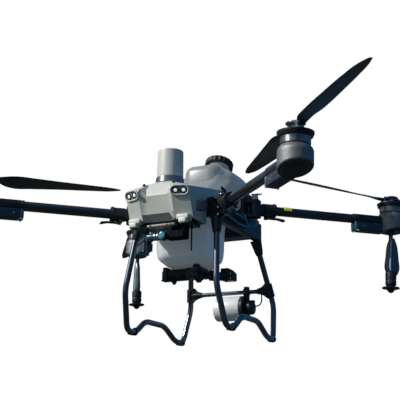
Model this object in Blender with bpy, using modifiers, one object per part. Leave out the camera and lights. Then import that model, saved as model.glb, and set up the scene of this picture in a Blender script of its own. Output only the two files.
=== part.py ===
"""Folding four-arm spraying drone in metres: Z up, nose towards -Y, feet on Z = 0."""

import math

import bmesh
import bpy
from mathutils import Matrix, Vector

# Fit between pieces that touch
CLEAR = 0.0003

# Rotor layout
MOTOR_X = 0.7025
MOTOR_Y = 0.6575
FLANGE_FRONT = 0.588
REAR_RISE = 0.081
CANT = math.radians(3.0)
ROTOR_RADIUS = 0.635
BLADE_LEAD = math.radians(8.0)

# Folding arms
HINGE_X = 0.215
HINGE_Y = 0.201
REAR_HINGE_X = 0.197
REAR_HINGE_Y = 0.184
ARM_DROP = 0.080
ARM_RADIUS = 0.021
ARM_WALL = 0.002
KNUCKLE_RADIUS = 0.026
KNUCKLE_HEIGHT = 0.054
EAR_RADIUS = 0.028
EAR_THICK = 0.012
PIN_RADIUS = 0.008
COLLAR_START = 0.036
COLLAR_LENGTH = 0.062
COLLAR_WALL = 0.009
LEVER_LENGTH = 0.088
LEVER_WIDTH = 0.022
LEVER_THICK = 0.007
LEVER_PIN = 0.0027
SLEEVE_LENGTH = 0.160
SLEEVE_WALL = 0.004
ESC_LENGTH = 0.160
ESC_WIDTH = 0.054
ESC_DEPTH = 0.060

# Motors
FLANGE_RADIUS = 0.0655
FLANGE_THICK = 0.010
FLANGE_RIM = 0.0075
BELL_RADIUS = 0.0535
BELL_HEIGHT = 0.030
BELL_WALL = 0.006
SHAFT_RADIUS = 0.010
POD_RADIUS = 0.0635
POD_BOTTOM = 0.121
POD_SLANT = math.radians(18.0)
POD_BOSS = 0.132
BOSS_RADIUS = 0.050

# Propellers
HUB_PIVOT = 0.038
HUB_BOSS = 0.012
HUB_PLATE = 0.006
LUG_HEIGHT = 0.0126
LUG_RADIUS = 0.0165
BOLT_RADIUS = 0.005
BLADE_CHORD = 0.088
BLADE_TIP_CHORD = 0.034
BLADE_TWIST = 21.0

# Centre frame
RAIL_X = 0.166
RAIL_WIDTH = 0.032
RAIL_HEIGHT = 0.0855
RAIL_FRONT = 0.207
RAIL_REAR = 0.298
CROSS_RISE = 0.031
DECK_LIP = 0.0067
BULKHEAD = 0.006

# Nose
NOSE_HALF = 0.146
NOSE_FRONT = 0.3995
NOSE_CHIN = 0.3545
NOSE_REAR = 0.206
NOSE_SINK = 0.0295
NOSE_HEIGHT = 0.1715
NOSE_WALL = 0.005
BROW_HEIGHT = 0.1145
WING_REAR = 0.070
WING_RISE = 0.018
ROOF_HALF = 0.062
ROOF_FALL = 0.050
PANEL_HALF = 0.048
CHEEK_INNER = 0.0765
CHEEK_TOE = math.radians(18.0)
TRAY_THICK = 0.0115
TRAY_FRONT = NOSE_CHIN - 0.033
LAMP_X = NOSE_HALF - 0.0356
LAMP_HEIGHT = 0.1045
LAMP_LENGTH = 0.066
LAMP_TALL = 0.031

# Front radar, sensors
RADAR_Y = 0.265
RADAR_RADIUS = 0.056
RADAR_HEIGHT = 0.1205
BASE_RADIUS = RADAR_RADIUS + 0.004
BASE_HEIGHT = 0.0262
SENSOR_HALF = 0.066
CAMERA_Y = 0.316
CAMERA_DROP = 0.0490
CAMERA_RADIUS = 0.017
ANTENNA_X = NOSE_HALF - 0.041
ANTENNA_Y = 0.262
ANTENNA_LENGTH = 0.108

# Tank and pump
TANK_HALF = 0.137
TANK_SINK = 0.178
TANK_RISE = 0.330
TANK_WALL = 0.004
NECK_Y = 0.205
NECK_RISE = 0.346
NECK_TILT = math.radians(18.0)
NECK_RADIUS = 0.050
CAP_RADIUS = 0.0675
CAP_HEIGHT = 0.029
PUMP_RADIUS = 0.022
LOBE_HALF = 0.088
LOBE_FRONT = 0.004
LOBE_REAR = 0.116
LOBE_LOW = 0.150
LOBE_HIGH = 0.318

# Battery
BATTERY_HALF = 0.088
BATTERY_FRONT = 0.320
BATTERY_DEPTH = 0.096
BATTERY_HEIGHT = 0.165
BUTTON_RADIUS = 0.009
BUTTON_PROUD = 0.003
TRAY_RISE = 0.066
TRAY_FLOOR = 0.016

# Landing gear
GEAR_RADIUS = 0.0125
PAD_DROP = 0.002
GEAR_X = 0.230
FRONT_TOP_X = 0.186
FRONT_TOP_Y = -0.196
FRONT_BEND = (0.211, -0.247, 0.1775)
FRONT_FOOT_Y = -0.157
REAR_FOOT_Y = 0.277
REAR_BEND = (0.213, 0.360, 0.1725)
REAR_TOP_X = 0.167
REAR_TOP_Y = 0.262
FOOT_LENGTH = 0.072
ARCH_HEIGHT = 0.073
BEND_REACH = 0.034

# Rear crossbar and radar
BAR_HEIGHT = 0.2405
BAR_RADIUS = 0.0095
SOCKET_LENGTH = 0.062
DRUM_LEFT = 0.069
DRUM_LENGTH = 0.132
DRUM_RADIUS = 0.057
DRUM_HEIGHT = BAR_HEIGHT - DRUM_RADIUS - BAR_RADIUS - 0.0065
CABLE_RADIUS = 0.003
CABLE_BEND = 0.026

# Nozzles
NOZZLE_TUBE = 0.010
FAIRING_TOP = 0.160
FAIRING_BOTTOM = 0.335
NOZZLE_RADIUS = 0.0255
NOZZLE_BOTTOM = 0.392
DISC_RADIUS = 0.042
DISC_DROP = 0.398

# Heights that follow from the sizes above
ARM_FRONT_Z = FLANGE_FRONT - ARM_DROP
EAR_GAP = KNUCKLE_HEIGHT / 2 + CLEAR
DECK = ARM_FRONT_Z - EAR_GAP - EAR_THICK - DECK_LIP
RAIL_TOP = DECK + RAIL_HEIGHT
NOSE_FLOOR = DECK - NOSE_SINK
NOSE_ROOF = NOSE_FLOOR + NOSE_HEIGHT
TRAY_BOTTOM = NOSE_FLOOR - CLEAR - TRAY_THICK
TANK_BOTTOM = DECK - TANK_SINK
BATTERY_FLOOR = DECK + TRAY_RISE
TRAY_UNDER = BATTERY_FLOOR - TRAY_FLOOR
SLOT_LOW = HUB_BOSS + HUB_PLATE
SLOT_HIGH = SLOT_LOW + LUG_HEIGHT + 2 * CLEAR
PROP_Z = (SLOT_LOW + SLOT_HIGH) / 2
GEAR_LOW = GEAR_RADIUS + PAD_DROP

CORNERS = {"fl": (1, -1), "fr": (-1, -1), "rl": (1, 1), "rr": (-1, 1)}
TO_SIDE = Matrix(((0, 0, 1, 0), (1, 0, 0, 0), (0, 1, 0, 0), (0, 0, 0, 1)))
TO_FRONT = Matrix(((1, 0, 0, 0), (0, 0, -1, 0), (0, 1, 0, 0), (0, 0, 0, 1)))

for old in list(bpy.data.objects):
    bpy.data.objects.remove(old, do_unlink=True)
DRONE = bpy.data.collections.new("spraying_drone")
HELPERS = bpy.data.collections.new("helpers")
bpy.context.scene.collection.children.link(DRONE)
bpy.context.scene.collection.children.link(HELPERS)


def finish(name, colour, roughness, metallic=0.0):
    """A plain material of one colour."""
    made = bpy.data.materials.new(name)
    made.use_nodes = True
    shader = made.node_tree.nodes["Principled BSDF"]
    shader.inputs["Base Color"].default_value = (*colour, 1.0)
    shader.inputs["Roughness"].default_value = roughness
    shader.inputs["Metallic"].default_value = metallic
    return made


BLACK = finish("black_plastic", (0.025, 0.028, 0.032), 0.45)
CARBON = finish("carbon", (0.04, 0.045, 0.05), 0.3)
GREY = finish("light_grey_shell", (0.62, 0.63, 0.60), 0.4)
MILK = finish("tank_plastic", (0.70, 0.73, 0.75), 0.4)
SILVER = finish("silver_cover", (0.72, 0.72, 0.70), 0.35)
METAL = finish("motor_metal", (0.45, 0.46, 0.48), 0.35, 0.9)
GLASS = finish("lamp_window", (0.85, 0.88, 0.9), 0.15)


def helper(mesh, frame=None):
    """An unseen solid that a visible part is made from."""
    item = bpy.data.objects.new(mesh.name, mesh)
    HELPERS.objects.link(item)
    item.hide_render = True
    item.display_type = "WIRE"
    item.parent = frame
    return item


def from_bmesh(shape, frame=None):
    """Turns a bmesh into a helper."""
    bmesh.ops.recalc_face_normals(shape, faces=shape.faces)
    mesh = bpy.data.meshes.new("solid")
    shape.to_mesh(mesh)
    shape.free()
    return helper(mesh, frame)


def empty(name, place, parent=None):
    """A frame whose origin lies on a joint or a seat."""
    item = bpy.data.objects.new(name, None)
    DRONE.objects.link(item)
    item.parent = parent
    item.matrix_basis = place
    item.empty_display_size = 0.03
    return item


def soften(item, width, segments=1, angle=35.0):
    """Rounds the edges sharper than the angle."""
    bevel = item.modifiers.new("soften", "BEVEL")
    bevel.width = width
    bevel.segments = segments
    bevel.limit_method = "ANGLE"
    bevel.angle_limit = math.radians(angle)
    return item


def block(low, high, frame=None, bevel=0.0, segments=1):
    """A box between two corners."""
    shape = bmesh.new()
    bmesh.ops.create_cube(shape, size=1.0)
    size = Vector(high) - Vector(low)
    middle = (Vector(high) + Vector(low)) / 2
    bmesh.ops.scale(shape, vec=size, verts=shape.verts)
    bmesh.ops.translate(shape, vec=middle, verts=shape.verts)
    item = from_bmesh(shape, frame)
    if bevel:
        soften(item, bevel, segments)
    return item


def rod(start, end, radius, frame=None, end_radius=None, sides=16):
    """A cylinder or a cone between two points."""
    axis = Vector(end) - Vector(start)
    turn = axis.to_track_quat("Z", "Y").to_matrix().to_4x4()
    place = Matrix.Translation((Vector(start) + Vector(end)) / 2) @ turn
    shape = bmesh.new()
    bmesh.ops.create_cone(
        shape,
        cap_ends=True,
        segments=sides,
        radius1=radius,
        radius2=radius if end_radius is None else end_radius,
        depth=axis.length,
        matrix=place,
    )
    return from_bmesh(shape, frame)


def turned(profile, frame=None, place=None, steps=20, ring=False):
    """A profile of (radius, height) turned about Z, outer side from top to bottom."""
    count = len(profile)
    edges = [(i, i + 1) for i in range(count - 1)]
    if ring:
        edges.append((count - 1, 0))
    mesh = bpy.data.meshes.new("turned")
    mesh.from_pydata([(r, 0.0, z) for r, z in profile], edges, [])
    item = helper(mesh, frame)
    if place is not None:
        item.matrix_basis = place
    screw = item.modifiers.new("turn", "SCREW")
    screw.steps = steps
    screw.render_steps = steps
    screw.use_merge_vertices = True
    screw.merge_threshold = 0.00001
    return item


def curve_mesh(points, flat, closed, depth, resolution=3):
    """A mesh made from a curve: a filled flat outline, or a round tube."""
    curve = bpy.data.curves.new("curve", "CURVE")
    curve.dimensions = "2D" if flat else "3D"
    line = curve.splines.new("POLY")
    line.points.add(len(points) - 1)
    for spot, place in zip(line.points, points):
        spot.co = (*place, 0.0, 1.0) if flat else (*place, 1.0)
    line.use_cyclic_u = closed
    if flat:
        curve.fill_mode = "BOTH"
        curve.extrude = depth
    else:
        curve.bevel_depth = depth
        curve.bevel_resolution = resolution
        curve.use_fill_caps = True
    item = bpy.data.objects.new("curve", curve)
    HELPERS.objects.link(item)
    bpy.context.view_layer.update()
    graph = bpy.context.evaluated_depsgraph_get()
    mesh = bpy.data.meshes.new_from_object(item.evaluated_get(graph))
    bpy.data.objects.remove(item, do_unlink=True)
    shape = bmesh.new()
    shape.from_mesh(mesh)
    bmesh.ops.remove_doubles(shape, verts=shape.verts, dist=0.000005)
    bmesh.ops.dissolve_limit(
        shape, angle_limit=0.002, verts=shape.verts, edges=shape.edges
    )
    return shape


def plate(outline, low, high, frame=None, turn=None):
    """A flat outline given thickness along Z between two heights, then turned."""
    shape = curve_mesh(outline, True, True, (high - low) / 2)
    lift = Matrix.Translation((0, 0, (high + low) / 2))
    place = lift if turn is None else turn @ lift
    bmesh.ops.transform(shape, matrix=place, verts=shape.verts)
    return from_bmesh(shape, frame)


def tube(points, radius, frame=None, resolution=2):
    """A round bar along a path."""
    return from_bmesh(curve_mesh(points, False, False, radius, resolution), frame)


def loft(rings, frame=None):
    """A skin through rings of equally many points, closed at both ends."""
    shape = bmesh.new()
    rows = [[shape.verts.new(point) for point in ring] for ring in rings]
    count = len(rows[0])
    for lower, upper in zip(rows, rows[1:]):
        for i in range(count):
            j = (i + 1) % count
            shape.faces.new((lower[i], lower[j], upper[j], upper[i]))
    shape.faces.new(list(reversed(rows[0])))
    shape.faces.new(rows[-1])
    return from_bmesh(shape, frame)


def arc(middle, radius, start, end, steps):
    """Points of an arc between two angles in degrees."""
    found = []
    for i in range(steps + 1):
        angle = math.radians(start + (end - start) * i / steps)
        found.append(
            (
                middle[0] + radius * math.cos(angle),
                middle[1] + radius * math.sin(angle),
            )
        )
    return found


def stadium(half_length, radius, steps=6):
    """An outline with two straight sides and round ends."""
    right = arc((half_length - radius, 0), radius, -90, 90, steps)
    left = arc((radius - half_length, 0), radius, 90, 270, steps)
    return right + left


def rounded(corners, reach, steps=3):
    """A path whose corners are rounded, each over the reach on either side."""
    path = [Vector(corners[0])]
    for before, corner, after in zip(corners, corners[1:], corners[2:]):
        before, corner, after = Vector(before), Vector(corner), Vector(after)
        inward = (before - corner).normalized() * min(
            reach, 0.48 * (before - corner).length
        )
        outward = (after - corner).normalized() * min(
            reach, 0.48 * (after - corner).length
        )
        for i in range(steps + 1):
            t = i / steps
            path.append(
                corner + inward * (1 - t) ** 2 + outward * t**2
            )
    path.append(Vector(corners[-1]))
    return path


def combine(item, others, operation):
    """Adds Boolean modifiers for each of the other solids."""
    for other in others:
        change = item.modifiers.new(operation.lower(), "BOOLEAN")
        change.operation = operation
        change.solver = "EXACT"
        change.object = other
    return item


def part(name, solids, look, cuts=()):
    """Makes a visible part: the solids joined, then the cuts taken away."""
    item = solids[0]
    HELPERS.objects.unlink(item)
    DRONE.objects.link(item)
    item.name = name
    item.data.name = name
    item.hide_render = False
    item.display_type = "TEXTURED"
    combine(item, solids[1:], "UNION")
    combine(item, cuts, "DIFFERENCE")
    item.data.materials.append(look)
    return item


# Centre frame


def hinge_spot(side_x, side_y):
    """Where an arm folds, in plan."""
    if side_y > 0:
        return side_x * REAR_HINGE_X, REAR_HINGE_Y
    return side_x * HINGE_X, -HINGE_Y


def ear_outline(side_x, side_y):
    """A hinge ear in plan: a round end at the pin that widens to the rail."""
    start = -90 if side_x > 0 else 90
    hinge = hinge_spot(side_x, side_y)
    round_end = arc(hinge, EAR_RADIUS, start, start + 180, 6)
    root = side_x * (RAIL_X - RAIL_WIDTH / 2 + 0.003)
    spread = EAR_RADIUS + 0.022
    front = max(hinge[1] - spread, 0.003 - RAIL_FRONT)
    roots = [(root, hinge[1] + spread), (root, front)]
    return round_end + (roots if side_x > 0 else roots[::-1])


def frame_solids():
    """The solids of the frame: rails, plates, towers, ears and hinge pins."""
    inner = RAIL_X - RAIL_WIDTH / 2
    outer = RAIL_X + RAIL_WIDTH / 2
    solids = []
    for side in (1, -1):
        low_x, high_x = sorted((side * inner, side * outer))
        solids.append(
            block((low_x, -RAIL_FRONT, DECK), (high_x, RAIL_REAR, RAIL_TOP), None, 0.004)
        )
    cross_low = DECK + 0.003
    cross_high = RAIL_TOP - 0.003
    face = NOSE_REAR - CLEAR
    solids.append(
        block((-inner - 0.006, -face, cross_low), (inner + 0.006, BULKHEAD - face, cross_high))
    )
    solids.append(
        block((-inner - 0.006, RAIL_REAR - 0.027, DECK + CROSS_RISE),
              (inner + 0.006, RAIL_REAR - 0.003, BATTERY_FLOOR + 0.006))
    )
    tray_half = BATTERY_HALF + 0.016
    tray_end = BATTERY_FRONT + BATTERY_DEPTH + 0.010
    solids.append(
        block((-tray_half, RAIL_REAR - 0.033, TRAY_UNDER),
              (tray_half, tray_end, BATTERY_FLOOR), None, 0.003)
    )
    for side in (1, -1):
        low_x, high_x = sorted(
            (side * (BATTERY_HALF + CLEAR), side * (BATTERY_HALF + 0.007))
        )
        solids.append(
            block((low_x, RAIL_REAR - 0.020, TRAY_UNDER + 0.006),
                  (high_x, tray_end - 0.012, BATTERY_FLOOR + 0.070))
        )
    for side_x, side_y in CORNERS.values():
        hinge_z = ARM_FRONT_Z + (REAR_RISE if side_y > 0 else 0.0)
        outline = ear_outline(side_x, side_y)
        top = hinge_z + EAR_GAP + EAR_THICK
        for low in (hinge_z + EAR_GAP, hinge_z - EAR_GAP - EAR_THICK):
            solids.append(plate(outline, low, low + EAR_THICK))
        if side_y > 0:
            tower = min(outer, REAR_HINGE_X - KNUCKLE_RADIUS - 0.003)
            low_x, high_x = sorted((side_x * (inner + 0.001), side_x * (tower - 0.001)))
            solids.append(
                block((low_x, REAR_HINGE_Y - 0.062, RAIL_TOP - 0.020),
                      (high_x, REAR_HINGE_Y + 0.062, top + 0.002), None, 0.003)
            )
        pin = hinge_spot(side_x, side_y)
        solids.append(
            rod((*pin, hinge_z - EAR_GAP - EAR_THICK - 0.004), (*pin, top + 0.003), PIN_RADIUS)
        )
        solids.append(
            rod((*pin, top - 0.002), (*pin, top + 0.005), PIN_RADIUS + 0.006, sides=8)
        )
    for side in (1, -1):
        low_x, high_x = sorted(
            (side * (RAIL_X - 0.004), side * (FRONT_TOP_X + 0.024))
        )
        solids.append(
            block((low_x, FRONT_TOP_Y - 0.026, DECK + 0.0005),
                  (high_x, FRONT_TOP_Y + 0.026, DECK + DECK_LIP + 0.004))
        )
    return solids


def build_frame():
    """The one-piece centre frame."""
    part("centre_frame", frame_solids(), BLACK)


# Nose


def lamp_frame(side):
    """The seat of a lamp on the leaning front of a cheek."""
    lean = math.atan2(NOSE_FRONT - NOSE_CHIN, BROW_HEIGHT)
    share = LAMP_HEIGHT / BROW_HEIGHT
    y = -(NOSE_CHIN + (NOSE_FRONT - NOSE_CHIN) * share)
    y += (LAMP_X - CHEEK_INNER) * math.tan(CHEEK_TOE)
    place = Matrix.Translation((side * LAMP_X, y, NOSE_FLOOR + LAMP_HEIGHT))
    toe = Matrix.Rotation(side * CHEEK_TOE, 4, "Z")
    return place @ toe @ Matrix.Rotation(lean, 4, "X")


def panel_cutter():
    """What lies in front of the sunken middle of the nose: its sides flare to the cheeks."""
    lean = (NOSE_FRONT - NOSE_CHIN) / BROW_HEIGHT
    far = NOSE_FRONT + 0.2
    wide = CHEEK_INNER + 0.03
    rows = [
        (-0.050, NOSE_CHIN - 0.030, PANEL_HALF + 0.003),
        (0.000, NOSE_CHIN - 0.030, PANEL_HALF + 0.003),
        (0.0245, NOSE_CHIN + 0.0045, PANEL_HALF + 0.003),
        (BROW_HEIGHT - 0.0178, NOSE_CHIN + 0.0244, PANEL_HALF - 0.002),
        (BROW_HEIGHT + 0.0132, NOSE_CHIN + 0.0117, PANEL_HALF + 0.006),
        (NOSE_HEIGHT - 0.014, NOSE_CHIN - 0.0135, PANEL_HALF + 0.010),
        (NOSE_HEIGHT, NOSE_CHIN - 0.0325, PANEL_HALF + 0.012),
        (NOSE_HEIGHT + 0.050, NOSE_CHIN - 0.050, PANEL_HALF + 0.014),
    ]
    rings = []
    for height, depth, half in rows:
        z = NOSE_FLOOR + height
        cheek = NOSE_CHIN + lean * height
        rings.append([
            (-half, -depth, z), (half, -depth, z), (CHEEK_INNER, -cheek, z),
            (wide, -far, z), (-wide, -far, z), (-CHEEK_INNER, -cheek, z),
        ])
    return loft(rings)


def roof_cutter(side):
    """Slopes the roof down to one side, and more so towards the front."""
    edge = Vector((side * NOSE_HALF, -NOSE_FRONT + 0.018, NOSE_ROOF - ROOF_FALL))
    rear = Vector((side * NOSE_HALF, -WING_REAR, NOSE_ROOF + WING_RISE - 0.006))
    crown = Vector((side * ROOF_HALF, -RADAR_Y, NOSE_ROOF + 0.0002))
    along = (rear - edge).normalized()
    up = along.cross(crown - edge).normalized()
    if up.z < 0:
        up = -up
    across = up.cross(along)
    item = block((-0.1, -0.4, 0.0), (0.7, 0.4, 0.2))
    turn = Matrix((along, across, up)).transposed().to_4x4()
    item.matrix_basis = Matrix.Translation(edge) @ turn
    return item


def build_nose():
    """The nose: shell, tray, avionics inside it and two lamps."""
    wing_floor = RAIL_TOP + 0.0015
    outline = [
        (-NOSE_CHIN, NOSE_FLOOR),
        (-NOSE_REAR, NOSE_FLOOR),
        (-NOSE_REAR, wing_floor),
        (-WING_REAR, wing_floor),
        (-WING_REAR, NOSE_ROOF + WING_RISE),
        (-NOSE_REAR + 0.004, NOSE_ROOF),
        (-NOSE_FRONT + 0.0755, NOSE_ROOF),
        (-NOSE_FRONT + 0.062, NOSE_ROOF - 0.010),
        (-NOSE_FRONT + 0.005, NOSE_FLOOR + BROW_HEIGHT + 0.010),
        (-NOSE_FRONT, NOSE_FLOOR + BROW_HEIGHT),
    ]
    shell = soften(plate(outline, -NOSE_HALF, NOSE_HALF, None, TO_SIDE), 0.005)
    inside = NOSE_HALF - NOSE_WALL
    cuts = [
        panel_cutter(),
        block((-inside, -TRAY_FRONT + 0.0025, NOSE_FLOOR - 0.05),
              (inside, -NOSE_REAR - NOSE_WALL, NOSE_ROOF - ROOF_FALL - NOSE_WALL + 0.012)),
        block((-inside, -NOSE_REAR, NOSE_FLOOR), (inside, 0.0, NOSE_ROOF + 0.05)),
    ]
    bumps = []
    for side in (1, -1):
        seat = lamp_frame(side)
        seen = empty("lamp_seat", seat)
        outline = stadium(LAMP_LENGTH / 2 + CLEAR, LAMP_TALL / 2 + CLEAR)
        cuts.append(plate(outline, -0.0085, 0.02, seen, TO_FRONT))
        cuts.append(roof_cutter(side))
        cuts.append(block((-0.2, -0.2, -0.2), (0.2, 0.0, 0.2), seen))
        low_x, high_x = sorted((side * (NOSE_HALF - 0.002), side * (NOSE_HALF + 0.01)))
        cuts.append(
            block((low_x, -0.300, NOSE_FLOOR + 0.056), (high_x, -0.212, NOSE_FLOOR + 0.098))
        )
        low_x, high_x = sorted((side * (NOSE_HALF - 0.046), side * (NOSE_HALF - 0.008)))
        bumps.append(
            block((low_x, -NOSE_CHIN + 0.0075, NOSE_FLOOR - 0.013),
                  (high_x, -TRAY_FRONT - 0.0015, NOSE_FLOOR + 0.008), None, 0.004)
        )
        lamp = plate(stadium(LAMP_LENGTH / 2, LAMP_TALL / 2), -0.0082, 0.002, seen, TO_FRONT)
        part("lamp_left" if side > 0 else "lamp_right", [lamp], GLASS)
    part("nose_shell", [shell, *bumps], GREY, cuts)
    tray = block((-inside + 0.022, -TRAY_FRONT, TRAY_BOTTOM),
                 (inside - 0.022, -NOSE_REAR - CLEAR, NOSE_FLOOR - CLEAR), None, 0.003)
    part("nose_tray", [tray], BLACK)
    avionics = block((0.046 - NOSE_HALF, 0.0085 - TRAY_FRONT, NOSE_FLOOR),
                     (NOSE_HALF - 0.046, -NOSE_REAR - 0.014, NOSE_FLOOR + 0.085), None, 0.004)
    part("avionics_box", [avionics], METAL)


def build_front_radar():
    """The upright radar drum and the ring below it."""
    seat = empty("radar_seat", Matrix.Translation((0, -RADAR_Y, NOSE_ROOF)))
    top = CLEAR + BASE_HEIGHT
    ring = turned(
        [(0, top), (RADAR_RADIUS - 0.001, top), (BASE_RADIUS - 0.003, top - 0.001),
         (BASE_RADIUS - 0.0005, top - 0.005), (BASE_RADIUS, CLEAR + 0.003),
         (BASE_RADIUS - 0.002, CLEAR), (0, CLEAR)],
        seat,
    )
    part("radar_base", [ring], BLACK)
    low = top + CLEAR
    high = low + RADAR_HEIGHT
    rim = RADAR_RADIUS - 0.002
    drum = turned(
        [(0, high + 0.004), (rim * 0.6, high + 0.0035), (rim - 0.006, high + 0.001),
         (rim - 0.001, high - 0.004), (rim, high - 0.010), (RADAR_RADIUS, low + 0.003),
         (RADAR_RADIUS - 0.003, low), (0, low)],
        seat,
    )
    part("radar_drum", [drum], GREY)


def build_under_nose():
    """Sensor bar, tilting camera with its yoke, and two antennas."""
    top = TRAY_BOTTOM - CLEAR
    bar = block((-SENSOR_HALF, -TRAY_FRONT - 0.016, top - 0.0130),
                (SENSOR_HALF, -TRAY_FRONT + 0.014, top), None, 0.004)
    part("sensor_bar", [bar], BLACK)
    camera_z = TRAY_BOTTOM - CAMERA_DROP
    inner = CAMERA_RADIUS + 0.0025
    stem = block((inner + 0.012, -CAMERA_Y + 0.012, camera_z - 0.012),
                 (NOSE_HALF - 0.0485, -CAMERA_Y + 0.050, top), None, 0.004)
    beam = block((inner, -CAMERA_Y - 0.016, camera_z - 0.017),
                 (NOSE_HALF - 0.0385, -CAMERA_Y + 0.030, camera_z + 0.017), None, 0.006)
    pin = rod((inner - 0.008, -CAMERA_Y, camera_z), (inner + 0.010, -CAMERA_Y, camera_z), 0.004)
    part("camera_yoke", [stem, beam, pin], BLACK)
    tilt = empty("camera_axis", Matrix.Translation((0, -CAMERA_Y, camera_z)))
    barrel = turned(
        [(0, 0.030), (CAMERA_RADIUS - 0.004, 0.030), (CAMERA_RADIUS - 0.002, 0.032),
         (CAMERA_RADIUS, 0.029), (CAMERA_RADIUS, -0.016), (CAMERA_RADIUS - 0.003, -0.019),
         (0, -0.019)],
        tilt,
        Matrix.Rotation(math.radians(90), 4, "X"),
        20,
    )
    boss = rod((0.006, 0, 0), (inner - CLEAR, 0, 0), 0.010, tilt)
    bore = rod((inner - 0.008 - CLEAR, 0, 0), (inner + 0.004, 0, 0), 0.004 + CLEAR, tilt)
    part("camera", [barrel, boss], BLACK, [bore])
    for side, name in ((1, "antenna_left"), (-1, "antenna_right")):
        seat = empty(
            name + "_seat",
            Matrix.Translation((side * ANTENNA_X, -ANTENNA_Y, top)),
        )
        mast = turned(
            [(0, 0), (0.006, 0), (0.006, -0.010), (0.0035, -0.018),
             (0.003, -ANTENNA_LENGTH + 0.004), (0.0022, -ANTENNA_LENGTH),
             (0, -ANTENNA_LENGTH)],
            seat,
            steps=12,
        )
        part(name, [mast], BLACK)


# Tank, cap and pump


def tank_ring(height, middle_y, half_x, half_y, inset=0.0, count=20):
    """A ring of the tank: a rounded rectangle at one height above the deck."""
    points = []
    for i in range(count):
        angle = 2 * math.pi * (i + 0.5) / count
        c, s = math.cos(angle), math.sin(angle)
        x = math.copysign(abs(c) ** 0.55, c) * (half_x - inset)
        y = math.copysign(abs(s) ** 0.55, s) * (half_y - inset)
        points.append((x, middle_y + y, DECK + height))
    return points


def tank_rings(inset):
    """The rings of the tank from its floor to its shoulder."""
    wide = TANK_HALF
    tall = TANK_RISE
    rows = [
        (-TANK_SINK + inset, -0.062, wide * 0.56, 0.088),
        (-TANK_SINK + 0.016 + inset / 2, -0.064, wide * 0.74, 0.110),
        (-TANK_SINK + 0.041, -0.066, wide * 0.865, 0.126),
        (-TANK_SINK + 0.076, -0.067, wide * 0.92, 0.131),
        (0.0, -0.065, wide * 0.925, 0.131),
        (0.043, -0.046, wide * 0.925, 0.149),
        (0.098, 0.000, wide * 0.935, 0.188),
        (tall * 0.54, 0.104, wide * 0.97, 0.168),
        (tall * 0.72, 0.162, wide, 0.153),
        (tall * 0.827, 0.169, wide * 0.955, 0.144),
        (tall * 0.918 - inset / 2, 0.176, wide * 0.77, 0.116),
        (tall * 0.979 - inset, 0.184, wide * 0.55, 0.082),
    ]
    return [tank_ring(*row, inset=inset) for row in rows]


def build_tank():
    """The hollow tank with its filler neck, screw cap and pump unit."""
    neck = empty(
        "cap_axis",
        Matrix.Translation((0, NECK_Y, DECK + NECK_RISE))
        @ Matrix.Rotation(-NECK_TILT, 4, "X"),
    )
    body = loft(tank_rings(0.0))
    lobe = block((-LOBE_HALF, LOBE_FRONT, DECK + LOBE_LOW),
                 (LOBE_HALF, LOBE_REAR, DECK + LOBE_HIGH), None, 0.034, 2)
    neck_top = 0.036
    collar = rod((0, 0, -0.055), (0, 0, neck_top), NECK_RADIUS, neck, sides=24)
    solids = [body, lobe, collar]
    for side in (1, -1):
        low_x, high_x = sorted((side * TANK_HALF * 0.88, side * RAIL_X))
        solids.append(
            block((low_x, -0.030, RAIL_TOP + CLEAR), (high_x, 0.060, RAIL_TOP + 0.012), None, 0.003)
        )
    wall = TANK_WALL
    cuts = [
        loft(tank_rings(wall)),
        block((wall - LOBE_HALF, wall + LOBE_FRONT, DECK + LOBE_LOW + 0.010),
              (LOBE_HALF - wall, LOBE_REAR - wall, DECK + LOBE_HIGH - wall), None, 0.032, 2),
        rod((0, 0, -0.080), (0, 0, neck_top + 0.02), NECK_RADIUS - 0.007, neck, sides=24),
    ]
    part("tank", solids, MILK, cuts)
    ribs = 18
    outline = []
    for i in range(ribs):
        for share, radius in ((0.0, CAP_RADIUS), (0.42, CAP_RADIUS), (0.55, CAP_RADIUS - 0.003),
                              (0.87, CAP_RADIUS - 0.003)):
            angle = 2 * math.pi * (i + share) / ribs
            outline.append((radius * math.cos(angle), radius * math.sin(angle)))
    low = neck_top - CAP_HEIGHT + 0.008
    high = neck_top + 0.008
    grip = plate(outline, low, high, neck)
    crown = turned(
        [(0, high + 0.006), (CAP_RADIUS - 0.022, high + 0.006), (CAP_RADIUS - 0.010, high + 0.003),
         (CAP_RADIUS - 0.006, high - 0.002), (0, high - 0.002)],
        neck,
    )
    hollow = rod((0, 0, low - 0.02), (0, 0, neck_top + CLEAR), NECK_RADIUS + 0.0006, neck, sides=24)
    part("tank_cap", [grip, crown], BLACK, [hollow])


def build_pump():
    """Pump block under the tank with a motor can on either side."""
    top = TANK_BOTTOM - CLEAR
    z = top - PUMP_RADIUS - 0.003
    solids = [
        block((-0.062, -0.125, top - 0.046), (0.062, 0.000, top), None, 0.005),
        rod((-0.110, -0.076, z), (-0.040, -0.076, z), PUMP_RADIUS),
        rod((-0.121, -0.076, z), (-0.100, -0.076, z), PUMP_RADIUS * 0.62),
        rod((0.030, -0.022, z - 0.003), (0.114, 0.072, z - 0.003), PUMP_RADIUS * 0.93),
        block((0.088, 0.048, z - 0.013), (0.146, 0.098, top + 0.016), None, 0.006),
        block((-0.031, -0.018, top - 0.039), (0.033, 0.066, top - 0.007), None, 0.005),
        rod((-0.020, -0.090, top - 0.062), (-0.020, -0.090, top - 0.020), 0.014),
    ]
    part("pump_unit", solids, BLACK)


# Battery


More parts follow.
